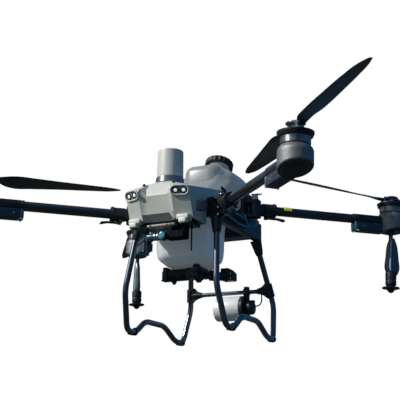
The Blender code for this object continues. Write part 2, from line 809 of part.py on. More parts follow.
def build_battery():
    """The battery that lifts out of its tray, with a handle and a button."""
    low = BATTERY_FLOOR + CLEAR
    high = low + BATTERY_HEIGHT
    back = BATTERY_FRONT + BATTERY_DEPTH
    middle = (BATTERY_FRONT + back) / 2
    body = block((-BATTERY_HALF, BATTERY_FRONT, low), (BATTERY_HALF, back, high), None, 0.008)
    grip = block((-0.058, middle - 0.012, high - 0.004), (0.058, middle + 0.012, high + 0.034),
                 None, 0.006)
    gap = block((-0.042, middle - 0.03, high), (0.042, middle + 0.03, high + 0.020), None, 0.005)
    button_z = low + 0.120
    depth = BUTTON_PROUD + 0.006
    pocket = rod((0, back - depth, button_z), (0, back + 0.02, button_z), BUTTON_RADIUS + CLEAR)
    part("battery", [body, grip], BLACK, [gap, pocket])
    seat = empty("button_axis", Matrix.Translation((0, back, button_z)))
    button = rod((0, -0.0055, 0), (0, BUTTON_PROUD, 0), BUTTON_RADIUS, seat)
    part("power_button", [button], METAL)


# Landing gear


def leg_point(side, height):
    """A point of the straight upper rear leg at one height."""
    low = Vector(REAR_BEND)
    high = Vector((REAR_TOP_X, REAR_TOP_Y, DECK))
    spot = low.lerp(high, (height - low.z) / (high.z - low.z))
    return Vector((side * spot.x, spot.y, spot.z))


def build_skid(side, name):
    """One bent skid: two legs, two feet and the arch between them."""
    half = FOOT_LENGTH / 2
    over = DECK + 0.02
    front_bend = Vector(FRONT_BEND)
    front_top = Vector((FRONT_TOP_X, FRONT_TOP_Y, DECK))
    rear_top = Vector((REAR_TOP_X, REAR_TOP_Y, DECK))
    front_over = front_bend.lerp(front_top, (over - front_bend.z) / (DECK - front_bend.z))
    rear_over = leg_point(1, over)
    rise = ARCH_HEIGHT - GEAR_LOW
    corners = [
        front_over,
        front_bend,
        (GEAR_X - 0.002, FRONT_FOOT_Y - half, GEAR_LOW),
        (GEAR_X, FRONT_FOOT_Y + half, GEAR_LOW),
        (GEAR_X, FRONT_FOOT_Y + half + 1.4 * rise, ARCH_HEIGHT),
        (GEAR_X, REAR_FOOT_Y - half - 1.9 * rise, ARCH_HEIGHT),
        (GEAR_X, REAR_FOOT_Y - half, GEAR_LOW),
        (GEAR_X - 0.002, REAR_FOOT_Y + half, GEAR_LOW),
        REAR_BEND,
        rear_over,
    ]
    path = [(side * x, y, z) for x, y, z in rounded(corners, BEND_REACH)]
    solids = [tube(path, GEAR_RADIUS)]
    for top, bend in ((front_over, front_bend), (rear_over, Vector(REAR_BEND))):
        along = (bend - top).normalized()
        low = top + along * 0.085
        solids.append(
            rod((side * low.x, low.y, low.z), (side * top.x, top.y, top.z),
                GEAR_RADIUS + 0.002, None, GEAR_RADIUS + 0.014)
        )
    for foot in (FRONT_FOOT_Y, REAR_FOOT_Y):
        middle = side * (GEAR_X - 0.001)
        solids.append(
            block((middle - 0.007, foot - half * 0.55, 0.0),
                  (middle + 0.007, foot + half * 0.55, GEAR_LOW), None, 0.001)
        )
    above = block((-0.5, -0.6, DECK - CLEAR), (0.5, 0.6, DECK + 0.2))
    part(name, solids, CARBON, [above])


def build_rear():
    """The crossbar between the rear legs, the rear radar, its bracket and cable."""
    left = leg_point(1, BAR_HEIGHT)
    bar_y = left.y
    along = (leg_point(1, BAR_HEIGHT + 0.1) - left).normalized()
    solids = [rod((-left.x, bar_y, BAR_HEIGHT), (left.x, bar_y, BAR_HEIGHT), BAR_RADIUS)]
    cuts = []
    for side in (1, -1):
        middle = leg_point(side, BAR_HEIGHT)
        reach = Vector((side * along.x, along.y, along.z))
        half = reach * SOCKET_LENGTH / 2
        solids.append(rod(middle - half, middle + half, GEAR_RADIUS + 0.006))
        near = Vector((middle.x - side * 0.060, bar_y, BAR_HEIGHT))
        solids.append(
            rod(near, middle, BAR_RADIUS + 0.003, None, GEAR_RADIUS + 0.004)
        )
        cuts.append(rod(middle - reach * 0.1, middle + reach * 0.1, GEAR_RADIUS + CLEAR))
    part("crossbar", solids, CARBON, cuts)
    lay = Matrix.Translation((0, bar_y, DRUM_HEIGHT)) @ Matrix.Rotation(math.pi / 2, 4, "Y")
    seat = empty("rear_radar_axis", lay)
    far = DRUM_LEFT - DRUM_LENGTH
    drum = turned(
        [(0, DRUM_LEFT), (DRUM_RADIUS - 0.004, DRUM_LEFT), (DRUM_RADIUS, DRUM_LEFT - 0.004),
         (DRUM_RADIUS, far + 0.010), (DRUM_RADIUS - 0.003, far + 0.004),
         (DRUM_RADIUS - 0.010, far), (0, far)],
        seat,
    )
    part("rear_radar_drum", [drum], SILVER)
    plate_start = DRUM_LEFT + CLEAR
    flange = turned(
        [(0, plate_start + 0.056), (0.024, plate_start + 0.056), (0.027, plate_start + 0.053),
         (0.030, plate_start + 0.022), (DRUM_RADIUS - 0.004, plate_start + 0.018),
         (DRUM_RADIUS - 0.001, plate_start + 0.014), (DRUM_RADIUS - 0.001, plate_start), (0, plate_start)],
        seat,
    )
    web = block((plate_start + 0.008, bar_y - 0.015, DRUM_HEIGHT),
                (plate_start + 0.030, bar_y + 0.015, BAR_HEIGHT), None, 0.003)
    clamp = rod((plate_start + 0.006, bar_y, BAR_HEIGHT), (plate_start + 0.032, bar_y, BAR_HEIGHT),
                BAR_RADIUS + 0.007)
    hole = rod((plate_start - 0.05, bar_y, BAR_HEIGHT), (plate_start + 0.08, bar_y, BAR_HEIGHT),
               BAR_RADIUS + CLEAR)
    part("rear_radar_bracket", [flange, web, clamp], BLACK, [hole])
    start = plate_start + 0.056 + CLEAR
    level = DRUM_HEIGHT + 0.006
    turn_x = start + 0.012
    end_x = turn_x + CABLE_BEND
    share = min(1.0, max(0.0, (end_x - left.x + 0.060) / 0.060))
    cone = BAR_RADIUS + 0.003 + (GEAR_RADIUS + 0.001 - BAR_RADIUS) * share
    route = [(start, bar_y, level)]
    for step in range(7):
        angle = math.pi / 2 * step / 6
        route.append((turn_x + CABLE_BEND * math.sin(angle), bar_y,
                      level + CABLE_BEND * (1 - math.cos(angle))))
    route.append((end_x, bar_y, BAR_HEIGHT - cone - 0.001))
    part("radar_cable", [tube(route, CABLE_RADIUS, None, 2)], BLACK)


# Folding arms


def build_knuckle(name, hinge):
    """The hinge barrel, its collar for the tube and the ears of the latch lever."""
    collar_radius = ARM_RADIUS + COLLAR_WALL
    end = COLLAR_START + COLLAR_LENGTH
    half = KNUCKLE_HEIGHT / 2
    lever_x, lever_z = lever_pin()
    ear = LEVER_WIDTH / 2 + CLEAR
    solids = [
        rod((0, 0, -half), (0, 0, half), KNUCKLE_RADIUS, hinge),
        block((0.004, -0.020, -half + 0.003), (COLLAR_START + 0.012, 0.020, half - 0.003),
              hinge, 0.004),
        rod((COLLAR_START, 0, 0), (end, 0, 0), collar_radius, hinge),
        rod((end - 0.012, 0, 0), (end - 0.003, 0, 0), collar_radius + 0.003, hinge),
    ]
    for side in (1, -1):
        low_y, high_y = sorted((side * ear, side * (ear + 0.006)))
        solids.append(
            block((lever_x - 0.008, low_y, lever_z - 0.004), (lever_x + 0.008, high_y, -0.008), hinge)
        )
    solids.append(rod((lever_x, -ear - 0.003, lever_z), (lever_x, ear + 0.003, lever_z),
                      LEVER_PIN, hinge, sides=12))
    cuts = [
        rod((0, 0, -half - 0.01), (0, 0, half + 0.01), PIN_RADIUS + CLEAR, hinge),
        rod((COLLAR_START + 0.014, 0, 0), (end + 0.02, 0, 0), ARM_RADIUS + CLEAR, hinge),
    ]
    part("knuckle_" + name, solids, BLACK, cuts)


def lever_pin():
    """Where the latch lever turns, in the frame of the arm."""
    x = COLLAR_START + 0.020
    z = -ARM_RADIUS - COLLAR_WALL - 0.003 - LEVER_THICK / 2 - CLEAR
    return x, z


def build_lever(name, hinge):
    """The latch lever lying along the underside of the collar and the tube."""
    x, z = lever_pin()
    axis = empty("lever_axis_" + name, Matrix.Translation((x, 0, z)), hinge)
    half = LEVER_WIDTH / 2
    top = LEVER_THICK / 2
    outline = [
        (0.0, top - LEVER_THICK), (LEVER_LENGTH * 0.60, top - LEVER_THICK),
        (LEVER_LENGTH * 0.94, top - 0.014), (LEVER_LENGTH, top - 0.012),
        (LEVER_LENGTH * 0.92, top - 0.004), (LEVER_LENGTH * 0.55, top), (0.0, top),
    ]
    arm = plate(outline, -half * 0.86, half * 0.86, axis, TO_FRONT)
    barrel = rod((0, -half, 0), (0, half, 0), LEVER_THICK / 2 + 0.0008, axis, sides=12)
    bore = rod((0, -half - 0.01, 0), (0, half + 0.01, 0), LEVER_PIN + CLEAR, axis, sides=12)
    part("latch_" + name, [barrel, arm], METAL, [bore])


def build_tube(name, hinge, length):
    """The carbon tube of one arm."""
    start = COLLAR_START + 0.014 + CLEAR
    end = length - sleeve_bottom()
    outer = rod((start, 0, 0), (end, 0, 0), ARM_RADIUS, hinge)
    inner = rod((start - 0.01, 0, 0), (end + 0.01, 0, 0), ARM_RADIUS - ARM_WALL, hinge)
    part("tube_" + name, [outer], CARBON, [inner])


def sleeve_bottom():
    """How far from the motor axis the tube ends."""
    return POD_RADIUS + 0.012


def build_pod(name, hinge, motor, length, nozzle):
    """The motor pod: housing, sleeve for the tube and controller box below it."""
    top = -BELL_HEIGHT - 0.004
    housing = turned(
        [(0, -FLANGE_THICK - 0.009), (BELL_RADIUS - BELL_WALL - 0.0015, -FLANGE_THICK - 0.009),
         (BELL_RADIUS - BELL_WALL - 0.0015, top), (BELL_RADIUS - 0.001, top),
         (BELL_RADIUS, top - 0.003), (POD_RADIUS - 0.004, top - 0.012),
         (POD_RADIUS, top - 0.025), (POD_RADIUS, -POD_BOTTOM - 0.040), (0, -POD_BOTTOM - 0.040)],
        motor,
        steps=18,
    )
    slant = Matrix.Translation((0, 0, -POD_BOTTOM)) @ Matrix.Rotation(-POD_SLANT, 4, "Y")
    below = block((-0.2, -0.2, -0.2), (0.2, 0.2, 0.0), motor)
    below.matrix_basis = slant
    sleeve = rod((length - POD_RADIUS - SLEEVE_LENGTH + 0.02, 0, 0), (length - 0.02, 0, 0),
                 ARM_RADIUS + SLEEVE_WALL, hinge)
    box = block((length - POD_RADIUS - ESC_LENGTH + 0.02, -ESC_WIDTH / 2, -ESC_DEPTH),
                (length - POD_RADIUS + 0.02, ESC_WIDTH / 2, -0.010), hinge, 0.007)
    cuts = [
        rod((length - POD_RADIUS - SLEEVE_LENGTH, 0, 0),
            (length - sleeve_bottom() + CLEAR, 0, 0), ARM_RADIUS + CLEAR, hinge),
        rod((0, 0, shaft_end() - CLEAR), (0, 0, 0.05), SHAFT_RADIUS + CLEAR, motor),
    ]
    solids = [housing, sleeve, box]
    combine(housing, [below], "DIFFERENCE")
    if nozzle:
        solids.append(rod((0, 0, -POD_BOSS), (0, 0, -POD_BOTTOM + 0.03), BOSS_RADIUS, motor))
    part("pod_" + name, solids, BLACK, cuts)


def shaft_end():
    """The lower end of the motor shaft below the flange."""
    return -BELL_HEIGHT - 0.030


def build_bell(name, motor):
    """The turning motor bell with its flange and shaft."""
    inner = BELL_RADIUS - BELL_WALL
    roof = -FLANGE_THICK - 0.0065
    bell = turned(
        [(0, 0), (FLANGE_RADIUS - 0.016, 0), (FLANGE_RADIUS - 0.006, FLANGE_RIM),
         (FLANGE_RADIUS, FLANGE_RIM), (FLANGE_RADIUS, FLANGE_RIM - 0.005),
         (FLANGE_RADIUS - 0.005, -FLANGE_THICK), (BELL_RADIUS, -FLANGE_THICK - 0.002),
         (BELL_RADIUS, -BELL_HEIGHT),
         (inner, -BELL_HEIGHT), (inner, roof), (SHAFT_RADIUS, roof),
         (SHAFT_RADIUS, shaft_end()), (0, shaft_end())],
        motor,
        steps=18,
    )
    part("bell_" + name, [bell], METAL)


def build_hub(name, rotor):
    """The propeller clamp: two plates on a core, with the blade bolts between them."""
    end = HUB_PIVOT + LUG_RADIUS
    outline = stadium(end, LUG_RADIUS + 0.002, 4)
    solids = [
        rod((0, 0, CLEAR), (0, 0, SLOT_HIGH + 0.003), 0.016, rotor, sides=12),
        rod((0, 0, CLEAR), (0, 0, HUB_BOSS + 0.002), 0.026, rotor, sides=14),
        plate(outline, HUB_BOSS, SLOT_LOW, rotor),
        plate(outline, SLOT_HIGH, SLOT_HIGH + HUB_PLATE, rotor),
        turned(
            [(0, SLOT_HIGH + HUB_PLATE + 0.007), (0.012, SLOT_HIGH + HUB_PLATE + 0.006),
             (0.018, SLOT_HIGH + HUB_PLATE + 0.002), (0.020, SLOT_HIGH + HUB_PLATE - 0.003),
             (0, SLOT_HIGH + HUB_PLATE - 0.003)],
            rotor,
            steps=12,
        ),
    ]
    for side in (1, -1):
        spot = side * HUB_PIVOT
        solids.append(
            rod((spot, 0, SLOT_LOW - 0.002), (spot, 0, SLOT_HIGH + 0.002), BOLT_RADIUS, rotor, sides=10)
        )
    part("hub_" + name, solids, METAL)


ROOT_SECTION = [
    (-0.50, 0.28), (-0.28, 0.50), (0.10, 0.50), (0.42, 0.40),
    (0.50, -0.28), (0.28, -0.50), (-0.10, -0.50), (-0.42, -0.40),
]
WING_SECTION = [
    (-0.38, 0.02), (-0.26, 0.52), (0.04, 0.62), (0.34, 0.40),
    (0.62, 0.05), (0.60, -0.06), (0.15, -0.28), (-0.25, -0.36),
]


def blade_ring(share, hand, span):
    """One section of a blade at a share of its span from the pivot."""
    table = [
        (0.00, 0.026, 0.0115, 0.0, 0.0), (0.045, 0.026, 0.0115, 0.0, 0.0),
        (0.085, 0.038, 0.0105, 0.55, 0.45), (0.14, 0.72 * BLADE_CHORD, 0.0090, 1.0, 1.0),
        (0.22, BLADE_CHORD, 0.0075, 0.96, 1.0), (0.34, 0.97 * BLADE_CHORD, 0.0062, 0.80, 1.0),
        (0.55, 0.80 * BLADE_CHORD, 0.0050, 0.60, 1.0), (0.78, 0.62 * BLADE_CHORD, 0.0040, 0.47, 1.0),
        (0.94, BLADE_TIP_CHORD, 0.0028, 0.40, 1.0), (1.00, 0.40 * BLADE_TIP_CHORD, 0.0018, 0.38, 1.0),
    ]
    where, chord, thick, turn, wing = table[share]
    angle = math.radians(BLADE_TWIST) * turn
    ring = []
    for (rx, rz), (wx, wz) in zip(ROOT_SECTION, WING_SECTION):
        across = (rx + (wx - rx) * wing) * chord
        up = (rz + (wz - rz) * wing) * thick
        y = across * math.cos(angle) + up * math.sin(angle)
        z = up * math.cos(angle) - across * math.sin(angle)
        ring.append((where * span, hand * y, z))
    return ring


def build_blade(name, rotor, turn, hand):
    """A folding blade on its bolt: a round lug and a twisted wing."""
    place = Matrix.Rotation(turn, 4, "Z") @ Matrix.Translation((HUB_PIVOT, 0, PROP_Z))
    pivot = empty("pivot_" + name, place, rotor)
    span = ROTOR_RADIUS - HUB_PIVOT
    half = LUG_HEIGHT / 2
    lug = rod((0, 0, -half), (0, 0, half), LUG_RADIUS, pivot, sides=14)
    wing = loft([blade_ring(i, hand, span) for i in range(10)], pivot)
    bore = rod((0, 0, -0.02), (0, 0, 0.02), BOLT_RADIUS + CLEAR, pivot, sides=12)
    part(name, [lug, wing], CARBON, [bore])


def build_nozzle(side, motor):
    """The spray nozzle hanging under a rear motor, and its spinning disc."""
    top = -POD_BOSS - CLEAR
    tall = FAIRING_BOTTOM - FAIRING_TOP
    rings = []
    for share, long, wide in ((0.0, 0.013, 0.011), (0.16, 0.024, 0.014), (0.55, 0.034, 0.016),
                              (0.88, 0.036, 0.017), (1.0, 0.026, 0.015)):
        z = -FAIRING_TOP - tall * share
        ring = []
        for i in range(12):
            angle = 2 * math.pi * i / 12
            ring.append((0.006 + long * math.cos(angle), wide * math.sin(angle), z))
        rings.append(ring)
    low = -NOZZLE_BOTTOM
    body = turned(
        [(0, -FAIRING_BOTTOM + 0.014), (NOZZLE_RADIUS - 0.006, -FAIRING_BOTTOM + 0.014),
         (NOZZLE_RADIUS, -FAIRING_BOTTOM + 0.006), (NOZZLE_RADIUS, low + 0.010),
         (NOZZLE_RADIUS - 0.007, low), (0.005, low), (0.005, low - 0.012), (0, low - 0.012)],
        motor,
    )
    solids = [
        rod((0, 0, -FAIRING_BOTTOM), (0, 0, top), NOZZLE_TUBE, motor),
        rod((0, 0, top - 0.012), (0, 0, top), NOZZLE_TUBE + 0.006, motor),
        loft(rings, motor),
        body,
    ]
    part("nozzle_" + side, solids, BLACK)
    bore = 0.005 + CLEAR
    bottom = low - 0.012 - CLEAR
    disc = turned(
        [(bore, -DISC_DROP + 0.0035), (0.014, -DISC_DROP + 0.0035), (DISC_RADIUS - 0.002, -DISC_DROP + 0.002),
         (DISC_RADIUS, -DISC_DROP), (DISC_RADIUS - 0.002, -DISC_DROP - 0.003),
         (0.020, -DISC_DROP - 0.006), (0.013, -DISC_DROP - 0.018), (0.006, -DISC_DROP - 0.023),
         (0, -DISC_DROP - 0.024), (0, bottom), (bore, bottom)],
        motor,
        steps=18,
        ring=True,
    )
    part("nozzle_disc_" + side, [disc], SILVER)


def build_arms():
    """Four arms, each with its motor, propeller and latch; the rear pair with nozzles."""
    for name, (side_x, side_y) in CORNERS.items():
        flange = FLANGE_FRONT + (REAR_RISE if side_y > 0 else 0.0)
        hinge_x, hinge_y = hinge_spot(side_x, side_y)
        run = Vector((side_x * MOTOR_X - hinge_x, side_y * MOTOR_Y - hinge_y, 0))
        length = run.length
        heading = math.atan2(run.y, run.x)
        place = Matrix.Translation((hinge_x, hinge_y, flange - ARM_DROP))
        hinge = empty("arm_axis_" + name, place @ Matrix.Rotation(heading, 4, "Z"))
        tilt = Matrix.Translation((length, 0, ARM_DROP)) @ Matrix.Rotation(CANT, 4, "Y")
        motor = empty("motor_axis_" + name, tilt, hinge)
        lead = Matrix.Rotation(BLADE_LEAD * side_x * side_y, 4, "Z")
        rotor = empty("rotor_axis_" + name, lead, motor)
        build_knuckle(name, hinge)
        build_lever(name, hinge)
        build_tube(name, hinge, length)
        build_pod(name, hinge, motor, length, side_y > 0)
        build_bell(name, motor)
        build_hub(name, rotor)
        build_blade(f"blade_{name}_out", rotor, 0.0, side_x * side_y)
        build_blade(f"blade_{name}_in", rotor, math.pi, side_x * side_y)
        if side_y > 0:
            build_nozzle("left" if side_x > 0 else "right", motor)


build_frame()
build_nose()
build_front_radar()
build_under_nose()
build_tank()
build_pump()
build_battery()
build_skid(1, "skid_left")
build_skid(-1, "skid_right")
build_rear()
build_arms()
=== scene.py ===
"""Looks of a folding four-arm spraying drone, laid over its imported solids.

Metres, Z up, nose towards -Y, feet on Z = 0. New pieces are surfaces worked out with numpy.
"""

import math

import bpy
import numpy as np
from mathutils import Matrix, Vector


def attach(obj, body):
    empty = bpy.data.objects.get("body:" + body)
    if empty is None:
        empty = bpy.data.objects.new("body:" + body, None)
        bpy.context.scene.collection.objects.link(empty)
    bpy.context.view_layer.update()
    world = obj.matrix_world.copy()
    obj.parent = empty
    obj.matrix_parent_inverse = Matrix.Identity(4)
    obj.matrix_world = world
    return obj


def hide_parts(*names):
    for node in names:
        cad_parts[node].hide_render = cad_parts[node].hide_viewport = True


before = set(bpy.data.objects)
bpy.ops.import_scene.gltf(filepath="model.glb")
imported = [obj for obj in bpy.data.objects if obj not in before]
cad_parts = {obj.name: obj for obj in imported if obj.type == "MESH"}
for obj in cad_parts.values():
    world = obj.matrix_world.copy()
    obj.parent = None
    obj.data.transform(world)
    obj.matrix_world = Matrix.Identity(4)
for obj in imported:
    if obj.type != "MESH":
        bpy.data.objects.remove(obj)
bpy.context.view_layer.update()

# Sizes shared with the solids
MOTOR_X, MOTOR_Y = 0.7025, 0.6575
FRONT_HINGE, REAR_HINGE = (0.215, 0.201), (0.197, 0.184)
FLANGE_FRONT, REAR_RISE = 0.588, 0.081
ARM_DROP, ARM_RADIUS, ARM_START = 0.08, 0.021, 0.0503
CANT, BLADE_LEAD = math.radians(3.0), math.radians(8.0)
SLEEVE_LENGTH, SLEEVE_RADIUS = 0.16, 0.025
ESC_LENGTH, ESC_WIDTH, ESC_DEPTH = 0.16, 0.054, 0.06
FLANGE_RADIUS, FLANGE_RIM, FLANGE_THICK = 0.0655, 0.0075, 0.01
BELL_RADIUS = 0.0535
POD_RADIUS, POD_BOTTOM, POD_SLANT = 0.0635, 0.121, math.tan(math.radians(18.0))
POD_BOSS, BOSS_RADIUS = 0.132, 0.05
HUB_PIVOT, LUG_RADIUS, LUG_HEIGHT = 0.038, 0.0165, 0.0126
SLOT_LOW, SLOT_HIGH, HUB_PLATE = 0.018, 0.0312, 0.006
ROTOR_RADIUS, BLADE_CHORD, BLADE_TIP, BLADE_TWIST = 0.635, 0.088, 0.034, 21.0
DECK, RAIL_TOP = 0.462, 0.5475
NOSE_FLOOR, NOSE_ROOF, NOSE_HALF = 0.4325, 0.604, 0.146
NOSE_FRONT, NOSE_CHIN, BROW_HEIGHT = 0.3995, 0.3545, 0.1145
CHEEK_INNER, CHEEK_TOE = 0.0765, math.radians(18.0)
LAMP_X, LAMP_HEIGHT, LAMP_LENGTH, LAMP_TALL = 0.1104, 0.1045, 0.066, 0.031
TRAY_BOTTOM, TRAY_FRONT, SENSOR_HALF = 0.4207, 0.3215, 0.066
RADAR_Y, RADAR_RADIUS, RADAR_HEIGHT = -0.265, 0.056, 0.1205
BASE_RADIUS, BASE_HEIGHT = 0.06, 0.0262
CAMERA_Y, CAMERA_DROP, CAMERA_RADIUS = -0.316, 0.049, 0.017
ANTENNA_X, ANTENNA_Y, ANTENNA_LENGTH = 0.105, -0.262, 0.108
TANK_HALF, TANK_SINK, TANK_RISE = 0.137, 0.178, 0.33
NECK_Y, NECK_RISE, NECK_TILT, NECK_RADIUS = 0.205, 0.346, math.radians(18.0), 0.05
CAP_RADIUS, CAP_HEIGHT, NECK_TOP = 0.0675, 0.029, 0.036
GEAR_RADIUS, GEAR_LOW, GEAR_X, ARCH_HEIGHT = 0.0125, 0.0145, 0.23, 0.073
FRONT_TOP, FRONT_BEND = (0.186, -0.196, DECK), (0.211, -0.247, 0.1775)
REAR_TOP, REAR_BEND = (0.167, 0.262, DECK), (0.213, 0.36, 0.1725)
FRONT_FOOT_Y, REAR_FOOT_Y, FOOT_LENGTH, BEND_REACH = -0.157, 0.277, 0.072, 0.034
BAR_HEIGHT, BAR_RADIUS, SOCKET_LENGTH, CONE_LENGTH = 0.2405, 0.0095, 0.062, 0.06
DRUM_LEFT, DRUM_LENGTH, DRUM_RADIUS, DRUM_HEIGHT = 0.069, 0.132, 0.057, 0.1675
FAIRING_TOP, FAIRING_BOTTOM, NOZZLE_RADIUS, NOZZLE_BOTTOM = 0.16, 0.335, 0.0255, 0.392
DISC_RADIUS, DISC_DROP = 0.042, 0.398
CABLE_BEND, CABLE_RADIUS = 0.026, 0.003
CLEAR = 0.0003

# Sizes of the looks alone
BELL_HEIGHT = 0.0375
# The feed pipes sit on the flanks where the sun's glint falls, so their pale colour reads as a painted
# highlight.
FEED_RADIUS, FEED_GLINT_FLANK = 0.0036, {"rl": math.radians(-117.0), "rr": math.radians(124.0)}
HOSE_RADIUS = 0.0052
FINS = 11
SLAT_LONG, SLAT_THIN, PANEL_SLOPE = 0.9, 0.16, 0.22
SHARP_ANGLE = 38.0

# Viewpoint and light
LENS_MM, SENSOR_MM = 75.35, 36.0
VIEWPOINT = (1.6247, -3.2062, -0.4209)
YAW, PITCH, ROLL = math.radians(26.748), math.radians(15.979), math.radians(0.859)
SUNBEAM, SUN_ENERGY, SUN_COLOUR = (0.584, 0.578, -0.57), 3.9, (1.0, 0.98, 0.94)
SKY_BY_SUN, SKY_AWAY, GROUND = (0.42, 0.43, 0.43), (0.024, 0.13, 0.31), (0.06, 0.08, 0.086)
FLOOR_HALF, FLOOR_HEIGHT = 14.0, -0.9

CORNERS = {"fl": (1, -1), "fr": (-1, -1), "rl": (1, 1), "rr": (-1, 1)}
SIDES = ((1, "left"), (-1, "right"))
FULL_TURN, QUARTER = 2 * math.pi, math.pi / 2


# Places


def shift(x, y, z):
    """A move as a 4 x 4 array."""
    made = np.eye(4)
    made[:3, 3] = (x, y, z)
    return made


def turn(axis, angle):
    """A turn about X, Y or Z as a 4 x 4 array."""
    return np.array(Matrix.Rotation(angle, 4, axis))


def place(points, matrix):
    """Each point times the upper 3 x 3 of the matrix, plus its last column."""
    return points @ matrix[:3, :3].T + matrix[:3, 3]


def mirror(points, side):
    """Points with their x taken to one side."""
    return np.asarray(points, float) * np.array([side, 1, 1])


def aim(start, end):
    """A frame at start whose Z runs towards end, and the distance."""
    axis = Vector(end) - Vector(start)
    spin = axis.to_track_quat("Z", "Y").to_matrix().to_4x4()
    return np.array(Matrix.Translation(Vector(start)) @ spin), axis.length


def arm_frames(corner):
    """Frames of one arm: its hinge with X along the arm, its motor, its rotor, and its length."""
    side_x, side_y = CORNERS[corner]
    spot = REAR_HINGE if side_y > 0 else FRONT_HINGE
    run_x = side_x * (MOTOR_X - spot[0])
    run_y = side_y * (MOTOR_Y - spot[1])
    length = math.hypot(run_x, run_y)
    height = FLANGE_FRONT - ARM_DROP + (REAR_RISE if side_y > 0 else 0.0)
    hinge = shift(side_x * spot[0], side_y * spot[1], height) @ turn("Z", math.atan2(run_y, run_x))
    motor = hinge @ shift(length, 0, ARM_DROP) @ turn("Y", CANT)
    rotor = motor @ turn("Z", BLADE_LEAD * side_x * side_y)
    return hinge, motor, rotor, length


ALONG_X = turn("Y", QUARTER)
TO_SIDE = np.array(((0, 0, 1, 0), (1, 0, 0, 0), (0, 1, 0, 0), (0, 0, 0, 1)), float)
FACE_FRONT = np.array(((1, 0, 0, 0), (0, 0, -1, 0), (0, 1, 0, 0), (0, 0, 0, 1)), float)


# Surfaces


def grid(rows):
    """Quads between neighbours of a grid of points, each row closed, flat caps on both ends.

    The map runs u round a row and v from row to row, both as lengths in metres.
    """
    count, width = rows.shape[:2]
    r = np.arange(count - 1)[:, None]
    c = np.arange(width)[None, :]
    d = (c + 1) % width
    quads = np.stack([r * width + c, r * width + d, (r + 1) * width + d, (r + 1) * width + c], -1)
    quads = quads.reshape(-1, 4)
    round_row = np.linalg.norm(np.roll(rows, -1, 1) - rows, axis=2).mean(0)
    u = np.concatenate([[0.0], np.cumsum(round_row)])
    between = np.linalg.norm(np.diff(rows, axis=0), axis=2).mean(1)
    v = np.concatenate([[0.0], np.cumsum(between)])
    flat_u = np.broadcast_to(np.stack([u[c], u[c + 1], u[c + 1], u[c]], -1), (count - 1, width, 4))
    flat_v = np.broadcast_to(np.stack([v[r], v[r], v[r + 1], v[r + 1]], -1), (count - 1, width, 4))
    corners = np.stack([flat_u, flat_v], -1).reshape(-1, 2)
    points = rows.reshape(-1, 3)
    a, b, e, f = (points[quads[:, k]] for k in range(4))
    volume = np.einsum("ij,ij->", a, np.cross(b, e)) + np.einsum("ij,ij->", a, np.cross(e, f))
    for ring, sign in ((rows[0], -1.0), (rows[-1], 1.0)):
        middle = np.broadcast_to(ring.mean(0), ring.shape)
        volume += sign * np.einsum("ij,ij->", middle, np.cross(ring, np.roll(ring, -1, 0)))
    first = np.arange(width)[::-1]
    last = np.arange(width) + (count - 1) * width
    cap_map = np.stack([u[:-1], np.zeros(width)], -1)
    if volume < 0:
        quads = quads[:, ::-1]
        corners = corners.reshape(-1, 4, 2)[:, ::-1].reshape(-1, 2)
        first, last = first[::-1], last[::-1]
    return points, quads.tolist() + [first.tolist(), last.tolist()], [corners, cap_map, cap_map]


def circle(turns):
    """Angles of one turn in equal steps."""
    return np.linspace(0, FULL_TURN, turns, endpoint=False)


def loft(x, y, z, matrix):
    """A surface through rings of points, set in a frame."""
    return grid(place(np.stack([x, y, np.broadcast_to(z, x.shape)], -1), matrix))


def lathe(profile, matrix, turns=48, bite=0.0):
    """A profile of (radius, height) turned about Z: (r cos a, r sin a, h), with a bite taken off r."""
    profile = np.asarray(profile, float)
    angle = circle(turns)
    radius = np.maximum(profile[:, :1] - bite, 0.0002)
    return loft(*np.broadcast_arrays(radius * np.cos(angle), radius * np.sin(angle)), profile[:, 1:], matrix)


def rounded(corners, reach, steps=6):
    """A line with its corners rounded: corner + inward (1 - t)^2 + outward t^2 for t from 0 to 1."""
    corners = np.asarray(corners, float)
    before, corner, after = corners[:-2], corners[1:-1], corners[2:]
    inward, outward = before - corner, after - corner
    size_in = np.linalg.norm(inward, axis=1, keepdims=True)
    size_out = np.linalg.norm(outward, axis=1, keepdims=True)
    inward = inward / size_in * np.minimum(reach, 0.48 * size_in)
    outward = outward / size_out * np.minimum(reach, 0.48 * size_out)
    t = np.linspace(0, 1, steps + 1)[None, :, None]
    bends = corner[:, None] + inward[:, None] * (1 - t) ** 2 + outward[:, None] * t**2
    return np.concatenate([corners[:1], bends.reshape(-1, corners.shape[1]), corners[-1:]])


def turned(corners, reach, steps, matrix, turns):
    """A profile with rounded corners, turned about Z."""
    return lathe(rounded(corners, reach, steps), matrix, turns)


def dome(radius, foot, level, rise, matrix):
    """A lens: a quarter ellipse on a short wall, turned about Z."""
    t = np.linspace(0, QUARTER, 8)
    bulge = np.stack([radius * np.cos(t), level + rise * np.sin(t)], -1)
    return lathe(np.concatenate([[(radius, foot)], bulge]), matrix, 40)


def spaced(line, step):
    """The same line with points about a step apart, linear between the given ones."""
    line = np.asarray(line, float)
    run = np.concatenate([[0.0], np.cumsum(np.linalg.norm(np.diff(line, axis=0), axis=1))])
    at = np.linspace(0, run[-1], max(2, int(run[-1] / step)) + 1)
    return np.stack([np.interp(at, run, line[:, k]) for k in range(line.shape[1])], -1)


def flowing(known_at, known, at):
    """Cubic Hermite curve through known values, slopes from their neighbours."""
    known_at = np.asarray(known_at, float)
    known = np.asarray(known, float)
    slope = np.gradient(known, known_at)
    k = np.clip(np.searchsorted(known_at, at, side="right") - 1, 0, len(known_at) - 2)
    gap = known_at[k + 1] - known_at[k]
    t = (at - known_at[k]) / gap
    return (
        known[k] * (2 * t**3 - 3 * t**2 + 1)
        + slope[k] * gap * (t**3 - 2 * t**2 + t)
        + known[k + 1] * (3 * t**2 - 2 * t**3)
        + slope[k + 1] * gap * (t**3 - t**2)
    )


